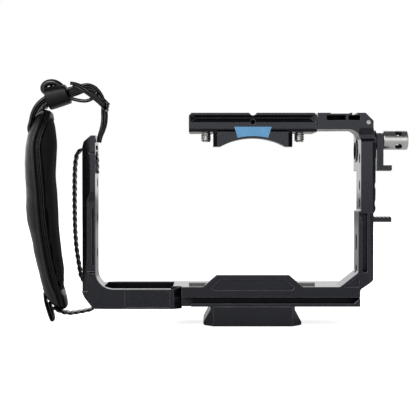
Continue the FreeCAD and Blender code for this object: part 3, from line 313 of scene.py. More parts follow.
@dataclass(frozen=True)
class BlackOxide:
    """Dark oiled steel of the small screws, with a painted highlight along its edges."""

    name: str = "black_oxide"
    colour: Triple = (0.030, 0.030, 0.034)
    # Painted edge highlight colour.
    edge: Triple = (0.16, 0.16, 0.17)
    light: float = 1.8
    roughness: float = 0.34
    cloud_scale: float = 500.0
    edge_radius: float = 0.0002

    def material(self) -> Material:
        """Build the material."""
        shader = Shader(self.name)
        place = shader.place()
        soft, rim = shader.edges(self.edge_radius)
        cloud = shader.noise(place, self.cloud_scale, 3.0)
        light = tuple(self.light * channel for channel in self.colour)
        face = shader.ramp(cloud, [(0.3, self.colour), (0.7, light)])
        # Painted highlight: the edges blend towards the light edge colour.
        shader.set(Base_Color=shader.blend(shader.math("MULTIPLY", rim, 0.6), face, self.edge),
                   Metallic=0.7, Roughness=shader.remap(cloud, self.roughness - 0.06, self.roughness + 0.08),
                   Normal=soft)
        return shader.material


@dataclass(frozen=True)
class MouldedRubber:
    """Smooth grey rubber of the pads that the camera stands on, with painted shade along its edges."""

    name: str = "pad_rubber"
    colour: Triple = (0.170, 0.155, 0.155)
    light: Triple = (0.215, 0.198, 0.198)
    # Painted shade colour along the edges.
    edge: Triple = (0.07, 0.068, 0.07)
    roughness: float = 0.09
    grain: float = 0.000002
    grain_scale: float = 2600.0
    cloud_scale: float = 200.0
    edge_radius: float = 0.0004

    def material(self) -> Material:
        """Build the material."""
        shader = Shader(self.name)
        place = shader.place()
        grain = shader.noise(place, self.grain_scale, 4.0)
        soft, rim = shader.edges(self.edge_radius)
        face = shader.ramp(shader.noise(place, self.cloud_scale), [(0.3, self.colour), (0.7, self.light)])
        # Painted shade: the edges blend towards the dark edge colour.
        shader.set(Base_Color=shader.blend(shader.math("MULTIPLY", rim, 0.4), face, self.edge),
                   Roughness=self.roughness, Normal=shader.bump(grain, self.grain, 0.5, soft))
        return shader.material


@dataclass(frozen=True)
class GrainLeather:
    """Black leather: pores between rounded cells, soft creases and a waxed sheen."""

    name: str
    colour: Triple = (0.0030, 0.0031, 0.0038)
    raised: Triple = (0.0065, 0.0066, 0.0080)
    cells: float = 1500.0
    crease_scale: float = 300.0
    pore_scale: float = 6000.0
    depth: float = 0.00004
    roughness: float = 0.27
    ior: float = 1.43
    shine: tuple[float, float] = (0.5, 0.08)

    def material(self) -> Material:
        """Build the material."""
        shader = Shader(self.name)
        place = shader.place()
        cell = shader.add("TexVoronoi", {"Vector": place, "Scale": self.cells, "Randomness": 0.9},
                          feature="DISTANCE_TO_EDGE").outputs["Distance"]
        grain = shader.remap(cell, 0.0, 1.0, 0.0, 0.22)
        crease = shader.noise(place, self.crease_scale, 5.0)
        pore = shader.noise(place, self.pore_scale)
        height = shader.math("ADD", grain, shader.math("MULTIPLY", crease, 1.6))
        height = shader.math("ADD", height, shader.math("MULTIPLY", pore, 0.35))
        tone = shader.math("MULTIPLY", grain, shader.remap(crease, 0.4, 1.0, 0.35, 0.65))
        shader.set(Base_Color=shader.ramp(tone, [(0.1, self.colour), (0.9, self.raised)]),
                   Roughness=shader.remap(crease, 0.8 * self.roughness, 1.3 * self.roughness, 0.3, 0.7),
                   IOR=self.ior,
                   Specular_IOR_Level=shader.remap(self.facing_hand(shader), *self.shine, 0.25, 0.55),
                   Normal=shader.bump(height, self.depth, 0.55))
        return shader.material

    def facing_hand(self, shader: Shader) -> Socket:
        """Share of the surface's direction along +X: the hand's side is raw and matt, the rest is waxed."""
        normal = shader.add("NewGeometry").outputs["Normal"]
        return shader.add("SeparateXYZ", {"Vector": normal}).outputs["X"]


@dataclass(frozen=True)
class BrushedMicrofibre:
    """Matte black microfibre: short nap in small clumps, with a faint sheen at grazing angles."""

    name: str = "microfibre"
    colour: Triple = (0.0055, 0.0055, 0.0064)
    nap: Triple = (0.0120, 0.0120, 0.0135)
    nap_depth: float = 0.00012
    clump_scale: float = 1700.0
    fibre_scale: float = 7000.0

    def material(self) -> Material:
        """Build the material."""
        shader = Shader(self.name)
        place = shader.place()
        clump = shader.noise(place, self.clump_scale, 4.0)
        fibre = shader.noise(place, self.fibre_scale)
        height = shader.math("ADD", clump, shader.math("MULTIPLY", fibre, 0.5))
        shader.set(Base_Color=shader.ramp(clump, [(0.35, self.colour), (0.72, self.nap)]), Roughness=0.94,
                   Specular_IOR_Level=0.06, Sheen_Weight=0.02, Sheen_Roughness=0.45,
                   Normal=shader.bump(height, self.nap_depth, 0.8))
        return shader.material


def settle(spots: np.ndarray, step: float) -> np.ndarray:
    """Points at even distances along a line of close spots.

    The line's length is summed up chord by chord, and each coordinate is read back at equal shares of it.
    """
    length = np.concatenate([[0.0], np.cumsum(np.linalg.norm(np.diff(spots, axis=0), axis=1))])
    even = np.linspace(0.0, length[-1], max(6, int(round(length[-1] / step))) + 1)
    return np.stack([np.interp(even, length, spots[:, axis]) for axis in range(spots.shape[1])], axis=1)


def hermite(knots: np.ndarray, values: np.ndarray, at: np.ndarray) -> np.ndarray:
    """Smooth curve through values given at knots.

    Between two knots it is the cubic whose end slopes are the slopes of the values there.
    """
    slope = np.gradient(values, knots, axis=0)
    span = np.clip(np.searchsorted(knots, at, side="right") - 1, 0, len(knots) - 2)
    width = (knots[span + 1] - knots[span])[:, None]
    t = (at - knots[span])[:, None] / width
    return ((2 * t**3 - 3 * t**2 + 1) * values[span] + (t**3 - 2 * t**2 + t) * width * slope[span]
            + (3 * t**2 - 2 * t**3) * values[span + 1] + (t**3 - t**2) * width * slope[span + 1])


def smooth_line(spots: np.ndarray, step: float) -> np.ndarray:
    """Even points on the smooth curve through the spots, with chord length as its parameter."""
    chord = np.concatenate([[0.0], np.cumsum(np.linalg.norm(np.diff(spots, axis=0), axis=1))])
    return settle(hermite(chord, spots, np.linspace(0.0, chord[-1], 30 * len(spots))), step)


def eased_line(spots: np.ndarray, step: float, rounds: int = 4) -> np.ndarray:
    """Even points on a line whose corners are cut.

    Each round puts two points on every run, a quarter and three quarters of the way along. The ends stay.
    """
    for _ in range(rounds):
        near = 0.75 * spots[:-1] + 0.25 * spots[1:]
        far = 0.25 * spots[:-1] + 0.75 * spots[1:]
        cut = np.stack([near, far], axis=1).reshape(-1, spots.shape[1])
        spots = np.concatenate([spots[:1], cut[1:-1], spots[-1:]])
    return settle(spots, step)


def in_plane(route: tuple, y: float) -> np.ndarray:
    """Route of (x, z) spots in millimetres as points in metres at one distance from the front."""
    flat = np.array(route, dtype=float)
    return np.stack([flat[:, 0], np.full(len(flat), y), flat[:, 1]], axis=1) * MM


def unit(vectors: np.ndarray) -> np.ndarray:
    """Vectors divided by their lengths."""
    return vectors / np.linalg.norm(vectors, axis=-1, keepdims=True)


def rounded_section(width: float, thickness: float, power: float, count: int) -> np.ndarray:
    """Outline of a strap in (across, up).

    It is a superellipse: cosine and sine raised to two over the power, each with its sign, times half the
    width and half the thickness.
    """
    turn = np.linspace(0.0, 2 * np.pi, count, endpoint=False)
    share = np.stack([np.cos(turn), np.sin(turn)], axis=1)
    return np.sign(share) * np.abs(share) ** (2 / power) * np.array([width, thickness]) / 2


def carry(line: np.ndarray, section: np.ndarray, side: np.ndarray = SIDE, twist: np.ndarray | float = 0.0,
          size: np.ndarray | float = 1.0) -> np.ndarray:
    """Grid of points of a section carried along a line.

    At each point of the line the section lies in the plane square to the line's direction. Its across axis
    is the side direction made square to the line, turned by the twist. The size multiplies the section.
    """
    ahead = unit(np.gradient(line, axis=0))
    up = unit(np.cross(ahead, np.broadcast_to(side, ahead.shape)))
    across = np.cross(up, ahead)
    turn = np.broadcast_to(twist, len(line))[:, None]
    scale = np.broadcast_to(size, len(line))[:, None]
    a = (section[None, :, 0] * np.cos(turn) - section[None, :, 1] * np.sin(turn)) * scale
    b = (section[None, :, 0] * np.sin(turn) + section[None, :, 1] * np.cos(turn)) * scale
    return line[:, None, :] + a[..., None] * across[:, None, :] + b[..., None] * up[:, None, :]


def carry_round(line: np.ndarray, section: np.ndarray, side: np.ndarray) -> np.ndarray:
    """Grid of points of a section carried along a closed line, with its up axis square to the side."""
    ahead = unit(np.roll(line, -1, axis=0) - np.roll(line, 1, axis=0))
    out = unit(np.cross(ahead, np.broadcast_to(side, ahead.shape)))
    cross = np.cross(out, ahead)
    first, second = section[None, :, :1], section[None, :, 1:]
    return line[:, None, :] + first * cross[:, None, :] + second * out[:, None, :]


def grid_faces(rows: int, columns: int, ring: bool, start: int = 0) -> np.ndarray:
    """Four corners of each face of a grid whose columns close; a ring closes its rows too."""
    row = np.arange(rows if ring else rows - 1)[:, None]
    column = np.arange(columns)[None, :]
    after = (column + 1) % columns
    below = (row + 1) % rows
    quads = np.stack(np.broadcast_arrays(row * columns + column, row * columns + after,
                                         below * columns + after, below * columns + column), axis=-1)
    return quads.reshape(-1, 4) + start


def volume(points: np.ndarray, quads: np.ndarray) -> float:
    """Signed volume under a set of faces: corner times the cross product of the next two, over six."""
    a, b, c, d = (points[quads[:, number]] for number in range(4))
    return float(np.sum(a * np.cross(b, c)) + np.sum(a * np.cross(c, d))) / 6


def put(name: str, grids: list[np.ndarray], finish: Material, ring: bool = False,
        smooth: bool = True) -> bpy.types.Object:
    """Object whose mesh is one or more closed grids.

    Args:
        name: name of the piece.
        grids: arrays of points, each rows by columns by three.
        finish: material.
        ring: whether the rows close too; otherwise each end gets a fan of triangles round its middle.
        smooth: whether the faces are shaded smooth.

    Returns:
        The new object, at the origin.
    """
    corners: list[np.ndarray] = []
    faces: list[list[int]] = []
    start = 0
    for grid in grids:
        rows, columns = grid.shape[:2]
        flat = grid.reshape(-1, 3)
        quads = grid_faces(rows, columns, ring)
        if volume(flat - flat.mean(axis=0), quads) < 0:
            quads = quads[:, ::-1]
            flipped = True
        else:
            flipped = False
        corners.append(flat)
        faces += (quads + start).tolist()
        used = len(flat)
        if not ring:
            around = np.arange(columns)
            after = (around + 1) % columns
            middles = np.stack([grid[0].mean(axis=0), grid[-1].mean(axis=0)])
            corners.append(middles)
            first = np.stack([after, around, np.full(columns, used)], axis=1)
            last = np.stack([around, after, np.full(columns, used + 1)], axis=1)
            last[:, :2] += (rows - 1) * columns
            fans = np.concatenate([first, last])
            faces += ((fans[:, ::-1] if flipped else fans) + start).tolist()
            used += 2
        start += used
    mesh = bpy.data.meshes.new(name)
    mesh.from_pydata(np.concatenate(corners).tolist(), [], faces)
    mesh.update()
    if smooth:
        mesh.shade_smooth()
    mesh.materials.append(finish)
    piece = bpy.data.objects.new(name, mesh)
    bpy.context.scene.collection.objects.link(piece)
    return piece


def lathe(spots: list | tuple, around: int, step: float) -> tuple[np.ndarray, np.ndarray]:
    """Outline of a turned piece and its angles.

    Args:
        spots: (height, radius) corners in millimetres.
        around: number of points round.
        step: greatest distance between points along the outline, in millimetres.

    Returns:
        Heights and radii along the outline, and the angles round it.
    """
    ends = np.array(spots, dtype=float)
    lengths = np.linalg.norm(np.diff(ends, axis=0), axis=1)
    counts = np.maximum(1, np.ceil(lengths / step)).astype(int)
    shares = [np.linspace(0.0, 1.0, count, endpoint=False) for count in counts]
    runs = [low + share[:, None] * (high - low) for low, high, share in zip(ends[:-1], ends[1:], shares)]
    return np.concatenate(runs + [ends[-1:]]), np.linspace(0.0, 2 * np.pi, around, endpoint=False)


def keep_modified(piece: bpy.types.Object) -> None:
    """Give a piece the mesh that its modifiers make, and take them off."""
    bpy.context.view_layer.update()
    mesh = bpy.data.meshes.new_from_object(piece.evaluated_get(bpy.context.evaluated_depsgraph_get()))
    piece.modifiers.clear()
    piece.data = mesh


def carve(piece: bpy.types.Object, cutters: list[bpy.types.Object]) -> None:
    """Take the cutters out of a piece and delete them."""
    for cutter in cutters:
        modifier = piece.modifiers.new("cut", "BOOLEAN")
        modifier.operation = "DIFFERENCE"
        modifier.solver = "EXACT"
        modifier.material_mode = "TRANSFER"
        modifier.object = cutter
    keep_modified(piece)
    for cutter in cutters:
        bpy.data.objects.remove(cutter)


def enter(piece: bpy.types.Object, body: Body, slot: Slot, *nodes: str) -> None:
    """Give a piece its body, and hide the CAD nodes that it stands for."""
    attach(piece, body.value)
    if nodes:
        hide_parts(*nodes)
    log.info("%s: %d faces", piece.name, len(piece.data.polygons))


def dress(finish: Material, *nodes: str) -> None:
    """Give CAD nodes one material."""
    for node in nodes:
        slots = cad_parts[node].data.materials
        slots.clear()
        slots.append(finish)


@dataclass(frozen=True)
class Studio:
    """Camera, soft lamps, pale floor and white surroundings."""

    eye: Triple = (-22.7, -722.0, 74.1)
    aim: Triple = (-22.7, -22.0, 60.0)
    target: Triple = (-20.0, 0.0, 60.0)
    lens: float = 119.9
    sensor: float = 36.0
    floor_reach: float = 6.0
    floor_drop: float = 0.0001
    dim: float = 0.55
    unlit: float = 0.07
    softboxes: tuple = (("Y", 0.50, 0.86, 1.0), ("Y", -0.80, -0.95, 1.0), ("X", -0.62, -0.86, 0.75))
    floor_grey: float = 0.8
    mirrored_floor: float = 0.42
    floor_glow: float = 0.78

    def camera(self) -> None:
        """Make the camera at the photographed viewpoint."""
        data = bpy.data.cameras.new("camera")
        data.lens = self.lens
        data.sensor_width = self.sensor
        data.clip_end = 50.0
        holder = bpy.data.objects.new("camera", data)
        eye = Vector(self.eye) * MM
        holder.location = eye
        holder.rotation_euler = (Vector(self.aim) * MM - eye).to_track_quat("-Z", "Y").to_euler()
        bpy.context.scene.collection.objects.link(holder)
        bpy.context.scene.camera = holder

    def lamp(self, name: str, place: Triple, size: float, power: float,
             mirrored: bool = False) -> None:
        """Add one square area lamp aimed at the cage; reflections show it only where asked."""
        data = bpy.data.lights.new(name, "AREA")
        data.size = size
        data.energy = power
        holder = bpy.data.objects.new(name, data)
        holder.location = place
        towards = Vector(self.target) * MM - Vector(place)
        holder.rotation_euler = towards.to_track_quat("-Z", "Y").to_euler()
        holder.visible_glossy = mirrored
        bpy.context.scene.collection.objects.link(holder)

    def world(self) -> None:
        """White surroundings for the camera, and three softboxes for reflections.

        A reflected ray sees the softboxes where it runs mostly towards the front, the back or the strap's
        side, and a dark room elsewhere. Light that falls on the cage comes evenly from all round.
        """
        world = bpy.data.worlds.new("studio")
        bpy.context.scene.world = world
        tree = Tree(world)
        path = tree.add("LightPath").outputs
        axes = tree.add("SeparateXYZ", {"Vector": tree.add("TexCoord").outputs["Generated"]}).outputs
        glow = self.unlit
        for axis, low, high, strength in self.softboxes:
            box = tree.add("MapRange", {"Value": axes[axis], "From Min": low, "From Max": high,
                                        "To Min": self.unlit, "To Max": strength},
                           interpolation_type="SMOOTHSTEP")
            glow = tree.math("MAXIMUM", glow, box.outputs["Result"])
        mirrored = tree.add("Mix", {"Factor": path["Is Glossy Ray"], "A": self.dim, "B": glow})
        clear = tree.math("MAXIMUM", path["Is Camera Ray"], path["Is Transmission Ray"])
        background = tree.tree.nodes["Background"].inputs
        tree.feed(background["Color"], WHITE)
        tree.feed(background["Strength"], tree.math("MAXIMUM", clear, mirrored.outputs["Result"]))

    def floor(self) -> None:
        """Pale floor that the camera sees as white, with a faint shadow under the foot."""
        reach = self.floor_reach
        mesh = bpy.data.meshes.new("floor")
        mesh.from_pydata([(-reach, -reach, 0), (reach, -reach, 0), (reach, reach, 0), (-reach, reach, 0)],
                         [], [(0, 1, 2, 3)])
        floor = bpy.data.objects.new("floor", mesh)
        floor.location.z = -self.floor_drop
        bpy.context.scene.collection.objects.link(floor)
        shader = Shader("floor")
        path = shader.add("LightPath").outputs
        pale, dark = (self.floor_grey,) * 3, (self.mirrored_floor,) * 3
        shader.set(Base_Color=shader.blend(path["Is Glossy Ray"], pale, dark), Roughness=0.9,
                   Specular_IOR_Level=0.0, Emission_Color=WHITE,
                   Emission_Strength=shader.math("MULTIPLY", path["Is Camera Ray"], self.floor_glow))
        mesh.materials.append(shader.material)

    def build(self) -> None:
        """Set up everything that isn't part of the cage."""
        self.camera()
        self.world()
        self.floor()
        self.lamp("key", (-0.6, -1.3, 0.9), 0.8, 11.0, mirrored=True)
        self.lamp("fill", (0.9, -1.1, 0.35), 1.0, 6.0)
        self.lamp("back", (0.1, 1.2, 0.9), 1.4, 8.0)
        bpy.context.scene.view_settings.view_transform = "Standard"


@dataclass
class MetalWork:
    """Machined pieces whose CAD shapes stay, and their finishes."""

    black: tuple[str, ...] = ("cage_frame", "grip_arm", "top_plate", "lens_saddle", "quick_release_plate",
                              "clamp_guide", "clamp_jaw", "lower_jaw")
    screws: tuple[str, ...] = ("saddle_screws", "bracket_screws", "release_screws", "grip_screws")

    def build(self) -> None:
        """Dress the machined pieces."""
        dress(BlastedMetal("anodised_black").material(), *self.black)
        dress(PaintedPlate().material(), "nameplate")
        dress(BlackOxide().material(), *self.screws)
        dress(MouldedRubber().material(), "base_pads")
        dress(TurnedSteel("pin_steel", marks=(600.0, 600.0, 600.0)).material(), "corner_pin")
        log.info("machined pieces dressed")


@dataclass
class SlottedScrew:
    """Captive screw with a coin slot, an undercut shank and a rolled thread."""

    name: str
    node: str
    body: Body
    centre: tuple[float, float]
    way: float
    under_head: float
    thread_start: float
    thread_end: float
    radius: float
    head_radius: float
    head_height: float = 3.0
    undercut: float = 0.7
    pitch: float = 1.15
    thread_depth: float = 0.42
    bevel: float = 0.35
    tip_bevel: float = 0.7
    run_in: float = 0.3
    slot_half_width: float = 0.7
    slot_depth: float = 0.9
    sides: int = 72
    step: float = 0.09

    def build(self, finish: Material) -> None:
        """Make the screw and cut its slot.

        The outline is turned about Z. Along the thread its radius falls from the crest by the thread's depth
        times a triangle wave of height over pitch less angle over a full turn, so the groove is a helix.
        """
        top = self.under_head - self.way * self.head_height
        neck = self.radius - self.undercut
        edge = self.head_radius - self.bevel
        outline, turn = lathe([(top, AXIS_CORE), (top, edge), (top + self.way * self.bevel, self.head_radius),
                               (self.under_head - self.way * self.bevel, self.head_radius),
                               (self.under_head, edge), (self.under_head, neck), (self.thread_start, neck),
                               (self.thread_start + self.way * self.run_in, self.radius),
                               (self.thread_end - self.way * self.tip_bevel, self.radius),
                               (self.thread_end, self.radius - self.tip_bevel),
                               (self.thread_end, AXIS_CORE)], self.sides, self.step)
        height, reach = outline[:, :1], outline[:, 1:]
        along = (height - self.thread_start) * self.way
        wave = np.abs(((height / self.pitch - turn[None, :] / (2 * np.pi)) % 1.0) * 2 - 1)
        threaded = (along > 0.0) & (reach > neck + 0.02)
        reach = reach - np.where(threaded, self.thread_depth * np.clip(1.35 * wave - 0.2, 0.0, 1.0), 0.0)
        grid = np.stack([self.centre[0] + reach * np.cos(turn), self.centre[1] + reach * np.sin(turn),
                         np.broadcast_to(height, reach.shape)], axis=-1) * MM
        screw = put(self.name, [grid], finish, smooth=False)
        wide = self.head_radius + 1.0
        low, high = sorted((top - self.way, top + self.way * self.slot_depth))
        corners = np.array([(-1, -1), (1, -1), (1, 1), (-1, 1)]) * (wide, self.slot_half_width) + self.centre
        block = np.array([[(*corner, z) for corner in corners] for z in (low, high)]) * MM
        cutter = put(self.name + "_slot", [block], finish)
        carve(screw, [cutter])
        enter(screw, self.body, Slot.STEEL, self.node)


@dataclass
class ClampKnob:
    """Knurled steel knob with two cross holes, and the screw that it turns."""

    axis_y: float = -10.0
    axis_z: float = 94.6
    start: float = 67.0
    end: float = 79.7
    radius: float = 4.95
    taper: float = 0.5
    screw_start: float = 57.6
    screw_radius: float = 1.5
    diamonds: int = 38
    diamond_pitch: float = 0.84
    knurl_depth: float = 0.04
    hole_radius: float = 1.8
    hole_from_end: float = 5.0
    rim_bevel: float = 0.3
    face_bevel: tuple[float, float] = (0.15, 0.9)
    sides: int = 304
    step: float = 0.105

    def build(self, finish: Material, bore_shade: Material) -> None:
        """Make the knob, whose holes get a dark finish of their own as painted shade.

        The outline is turned about X. The knurl lowers the radius by its depth times one less the product of
        two sine waves, which run along two crossing helices.
        """
        ahead, inwards = self.face_bevel
        outline, turn = lathe([(self.screw_start, AXIS_CORE), (self.screw_start, self.screw_radius),
                               (self.start, self.screw_radius), (self.start, self.radius - self.rim_bevel),
                               (self.start + self.rim_bevel, self.radius),
                               (self.end - self.taper, self.radius),
                               (self.end - ahead, self.radius - self.taper),
                               (self.end, self.radius - inwards), (self.end, AXIS_CORE)],
                              self.sides, self.step)
        along, reach = outline[:, :1], outline[:, 1:]
        lap = turn[None, :] * self.diamonds / 2
        lead = np.pi * along / self.diamond_pitch
        knurl = 1 - np.abs(np.sin(lap + lead)) * np.abs(np.sin(lap - lead))
        rim = (along > self.start + 0.25) & (reach > self.radius - self.taper - 0.01)
        reach = reach - np.where(rim, self.knurl_depth * knurl, 0.0)
        grid = np.stack([np.broadcast_to(along, reach.shape), self.axis_y + reach * np.cos(turn),
                         self.axis_z + reach * np.sin(turn)], axis=-1) * MM
        knob = put("clamp_knob_knurled", [grid], finish, smooth=False)
        carve(knob, [self.drill(bore_shade, angle) for angle in (np.pi / 4, 3 * np.pi / 4)])
        enter(knob, Body.KNOB, Slot.STEEL, "clamp_knob")

    def drill(self, finish: Material, angle: float) -> bpy.types.Object:
        """Cutter for one cross hole: a circle carried straight through the knob's axis."""
        reach = 2 * self.radius * np.array([[-1.0], [1.0]])
        way = np.array([0.0, np.cos(angle), np.sin(angle)])
        middle = np.array([self.end - self.hole_from_end, self.axis_y, self.axis_z])
        circle = rounded_section(2 * self.hole_radius, 2 * self.hole_radius, 2.0, 48)
        return put("drill", [carry((middle + reach * way) * MM, circle * MM, side=ACROSS)],
                   finish)


@dataclass
class HandPad:
    """Leather pad with a rolled edge, a welt, and a soft lining on the hand's side.

    The sections are rows of height, outer side, seam and half width. The crowns are rows of height and of how
    far the lining reaches. The ridge and the channel have their distance from the seam, height and width.
    """

    sections: tuple = (
        (110.2, -108.3, -105.2, 5.0), (108.5, -109.9, -104.7, 7.5), (105.9, -111.8, -104.7, 10.5),
        (104.6, -112.4, -104.9, 11.5), (101.5, -113.9, -105.7, 13.5), (97.2, -115.2, -107.2, 15.3),
        (91.0, -116.3, -108.3, 16.8), (84.0, -116.7, -107.8, 17.5), (76.0, -116.5, -107.1, 18.0),
        (68.0, -116.1, -106.3, 18.0), (60.0, -116.2, -105.9, 17.8), (52.0, -115.4, -105.2, 17.3),
        (44.0, -113.4, -104.2, 16.4), (36.0, -112.0, -103.1, 15.0), (28.0, -110.1, -101.7, 13.2),
        (20.0, -108.2, -99.6, 11.0), (16.8, -107.4, -98.6, 10.0), (13.0, -105.5, -97.7, 8.6),
        (9.6, -102.2, -97.3, 7.4), (7.7, -100.0, -97.2, 6.2))
    crowns: tuple = ((108.6, -102.4), (105.6, -101.4), (101.5, -100.9), (97.2, -101.0), (91.0, -101.2),
                     (84.0, -101.7), (76.0, -102.2), (68.0, -101.5), (60.0, -101.0), (52.0, -100.6),
                     (44.0, -99.9), (36.0, -98.9), (28.0, -97.7), (20.0, -96.5), (14.6, -95.5))
    shift: float = 0.4
    outer_fullness: float = 0.93
    full_half_width: float = 12.0
    ridge: Triple = (2.9, 0.75, 0.70)
    channel: Triple = (1.35, -1.05, 0.55)
    ripple_height: float = 0.045
    middle_height: float = 61.0
    bulge_start: float = 38.0
    bulge_run: float = 8.0
    end_bulge: float = 2.1
    end_round: float = 3.0
    welt_radius: float = 0.46
    welt_inset: float = 0.15
    welt_from_seam: float = 0.75
    welt_low: float = 17.5
    welt_high: float = 103.6
    welt_top: tuple[float, float] = (3.2, 1.4)
    welt_foot: tuple[float, float] = (-3.0, 1.2)
    lining_gap: float = 0.9
    lining_inset: float = 0.3
    lining_sink: float = 0.35
    lining_fullness: float = 0.55
    lining_round: float = 6.0
    lining_voxel: float = 0.0019
    lining_pressure: float = 4.0
    lining_frames: int = 20
    lining_swell: float = 0.0007

    def at(self, heights: np.ndarray) -> np.ndarray:
        """Outer side, seam and half width at heights, on the smooth curve through the sections."""
        rows = np.array(self.sections)[::-1]
        place = hermite(rows[:, 0], rows[:, 1:], heights)
        place[:, :2] += self.shift
        return place

    @staticmethod
    def closing(heights: np.ndarray, reach: float) -> np.ndarray:
        """Quarter circle that rises from 0 to 1 over a reach from either end."""
        edge = np.minimum(heights - heights[0], heights[-1] - heights)[:, None]
        return np.sqrt(1 - (1 - np.clip(edge / reach, 0.0, 1.0)) ** 2)

    def leather(self, finish: Material) -> None:
        """Leather shell of the pad.

        At each height half an ellipse runs from one seam round the outer side to the other. Measured along it
        from the nearer seam, a Gaussian ridge stands up and a Gaussian channel lies between ridge and seam.
        Slow waves ripple the outside. The side towards the hand is flat behind the lining and bulges at both
        ends, where the sections shrink on a quarter circle.
        """
        heights = np.linspace(self.sections[-1][0] + 0.02, self.sections[0][0] - 0.02, 190)
        outer, seam, half = (column[:, None] for column in self.at(heights).T)
        turn = np.linspace(0.0, np.pi, 97)[None, :]
        x = seam + (outer - seam) * np.sin(turn) ** self.outer_fullness
        y = -half * np.cos(turn)
        run = np.hypot(np.diff(x, axis=1), np.diff(y, axis=1))
        run = np.concatenate([np.zeros_like(seam), np.cumsum(run, axis=1)], axis=1)
        near = np.minimum(run, run[:, -1:] - run)
        fade = np.clip(half / self.full_half_width, 0.25, 1.0)
        lift = sum(height * np.exp(-((near - from_seam * fade) / width) ** 2)
                   for from_seam, height, width in (self.ridge, self.channel))
        z = np.broadcast_to(heights[:, None], x.shape)
        ripple = np.sin(0.31 * z + 0.9 * np.sin(0.17 * y)) * np.sin(0.23 * y + 0.4)
        ripple = ripple + np.sin(0.83 * z - 0.35 * y)
        lift = lift * fade + self.ripple_height * ripple * np.clip(near / 4.0, 0.0, 1.0)
        along = unit(np.stack([np.gradient(x, axis=1), np.gradient(y, axis=1)], axis=-1))
        x = x - along[..., 1] * lift
        y = y + along[..., 0] * lift
        flat = np.linspace(1.0, -1.0, 26)[None, 1:-1]
        from_middle = np.abs(heights - self.middle_height)[:, None]
        ends = np.clip((from_middle - self.bulge_start) / self.bulge_run, 0.0, 1.0)
        x = np.concatenate([x, seam + 0.15 + self.end_bulge * ends * np.sqrt(1 - flat**2)], axis=1)
        y = np.concatenate([y, half * flat], axis=1)
        shrink = self.closing(heights, self.end_round) * 0.75 + 0.25
        middle = (outer + seam) / 2
        grid = np.stack([middle + (x - middle) * shrink, STRAP_Y + y * shrink,
                         np.broadcast_to(heights[:, None], x.shape)], axis=-1) * MM
        pad = put("pad_leather", [grid], finish)
        enter(pad, Body.CAGE, Slot.LEATHER, "strap_pad")

    def edge_line(self) -> np.ndarray:
        """Closed line round the pad near its seam.

        It goes up the front edge, over the top on half an ellipse, down the back edge and under the foot.
        """
        heights = np.linspace(self.welt_low, self.welt_high, 60)
        place = self.at(heights)
        front = np.stack([place[:, 1] + self.welt_from_seam, STRAP_Y - place[:, 2] + self.welt_inset,
                          heights], axis=1)
        back = front[::-1] * (1, -1, 1) + (0, 2 * STRAP_Y, 0)
        turn = np.linspace(0.0, np.pi, 22)[1:-1, None]

        def cap(end: np.ndarray, rise: float, lean: float) -> np.ndarray:
            """Half an ellipse from the front edge to the back edge, which rises and leans in between."""
            reach = STRAP_Y - end[1]
            return np.concatenate([end[0] + lean * np.sin(turn), STRAP_Y - reach * np.cos(turn),
                                   end[2] + rise * np.sin(turn)], axis=1)

        top, foot = cap(front[-1], *self.welt_top), cap(front[0], *self.welt_foot)
        return np.concatenate([front, top, back, foot[::-1]]) * MM

    def welt(self, finish: Material) -> None:
        """Rolled leather cord between the shell and the lining."""
        round_ = rounded_section(2 * self.welt_radius, 2 * self.welt_radius, 2.0, 14) * MM
        welt = put("pad_welt", [carry_round(self.edge_line(), round_, ACROSS)], finish, ring=True)
        enter(welt, Body.CAGE, Slot.LEATHER, "strap_piping")

    def lining(self, finish: Material) -> None:
        """Soft cushion on the hand's side: half an ellipse per height, then swollen as cloth."""
        rows = np.array(self.crowns)[::-1]
        heights = np.linspace(rows[0, 0] + 0.8, rows[-1, 0] - 0.8, 64)
        crown = hermite(rows[:, 0], rows[:, 1:], heights) + self.shift - self.lining_sink
        seam, half = (column[:, None] for column in self.at(heights).T[1:])
        seam = seam + self.lining_gap
        half = half - self.lining_inset
        turn = np.linspace(0.0, np.pi, 41)[None, :]
        x = seam + (crown - seam) * np.sin(turn) ** self.lining_fullness
        y = -half * np.cos(turn)
        flat = np.linspace(1.0, -1.0, 22)[None, 1:-1]
        x = np.concatenate([x, np.broadcast_to(seam, (len(heights), flat.shape[1]))], axis=1)
        y = np.concatenate([y, half * flat], axis=1)
        shrink = self.closing(heights, self.lining_round) * 0.6 + 0.4
        grid = np.stack([seam + (x - seam) * shrink, STRAP_Y + y * (0.35 + 0.65 * shrink),
                         np.broadcast_to(heights[:, None], x.shape)], axis=-1) * MM
        cushion = put("pad_lining", [grid], finish)
        self.swell(cushion)
        enter(cushion, Body.CAGE, Slot.LINING, "strap_lining")

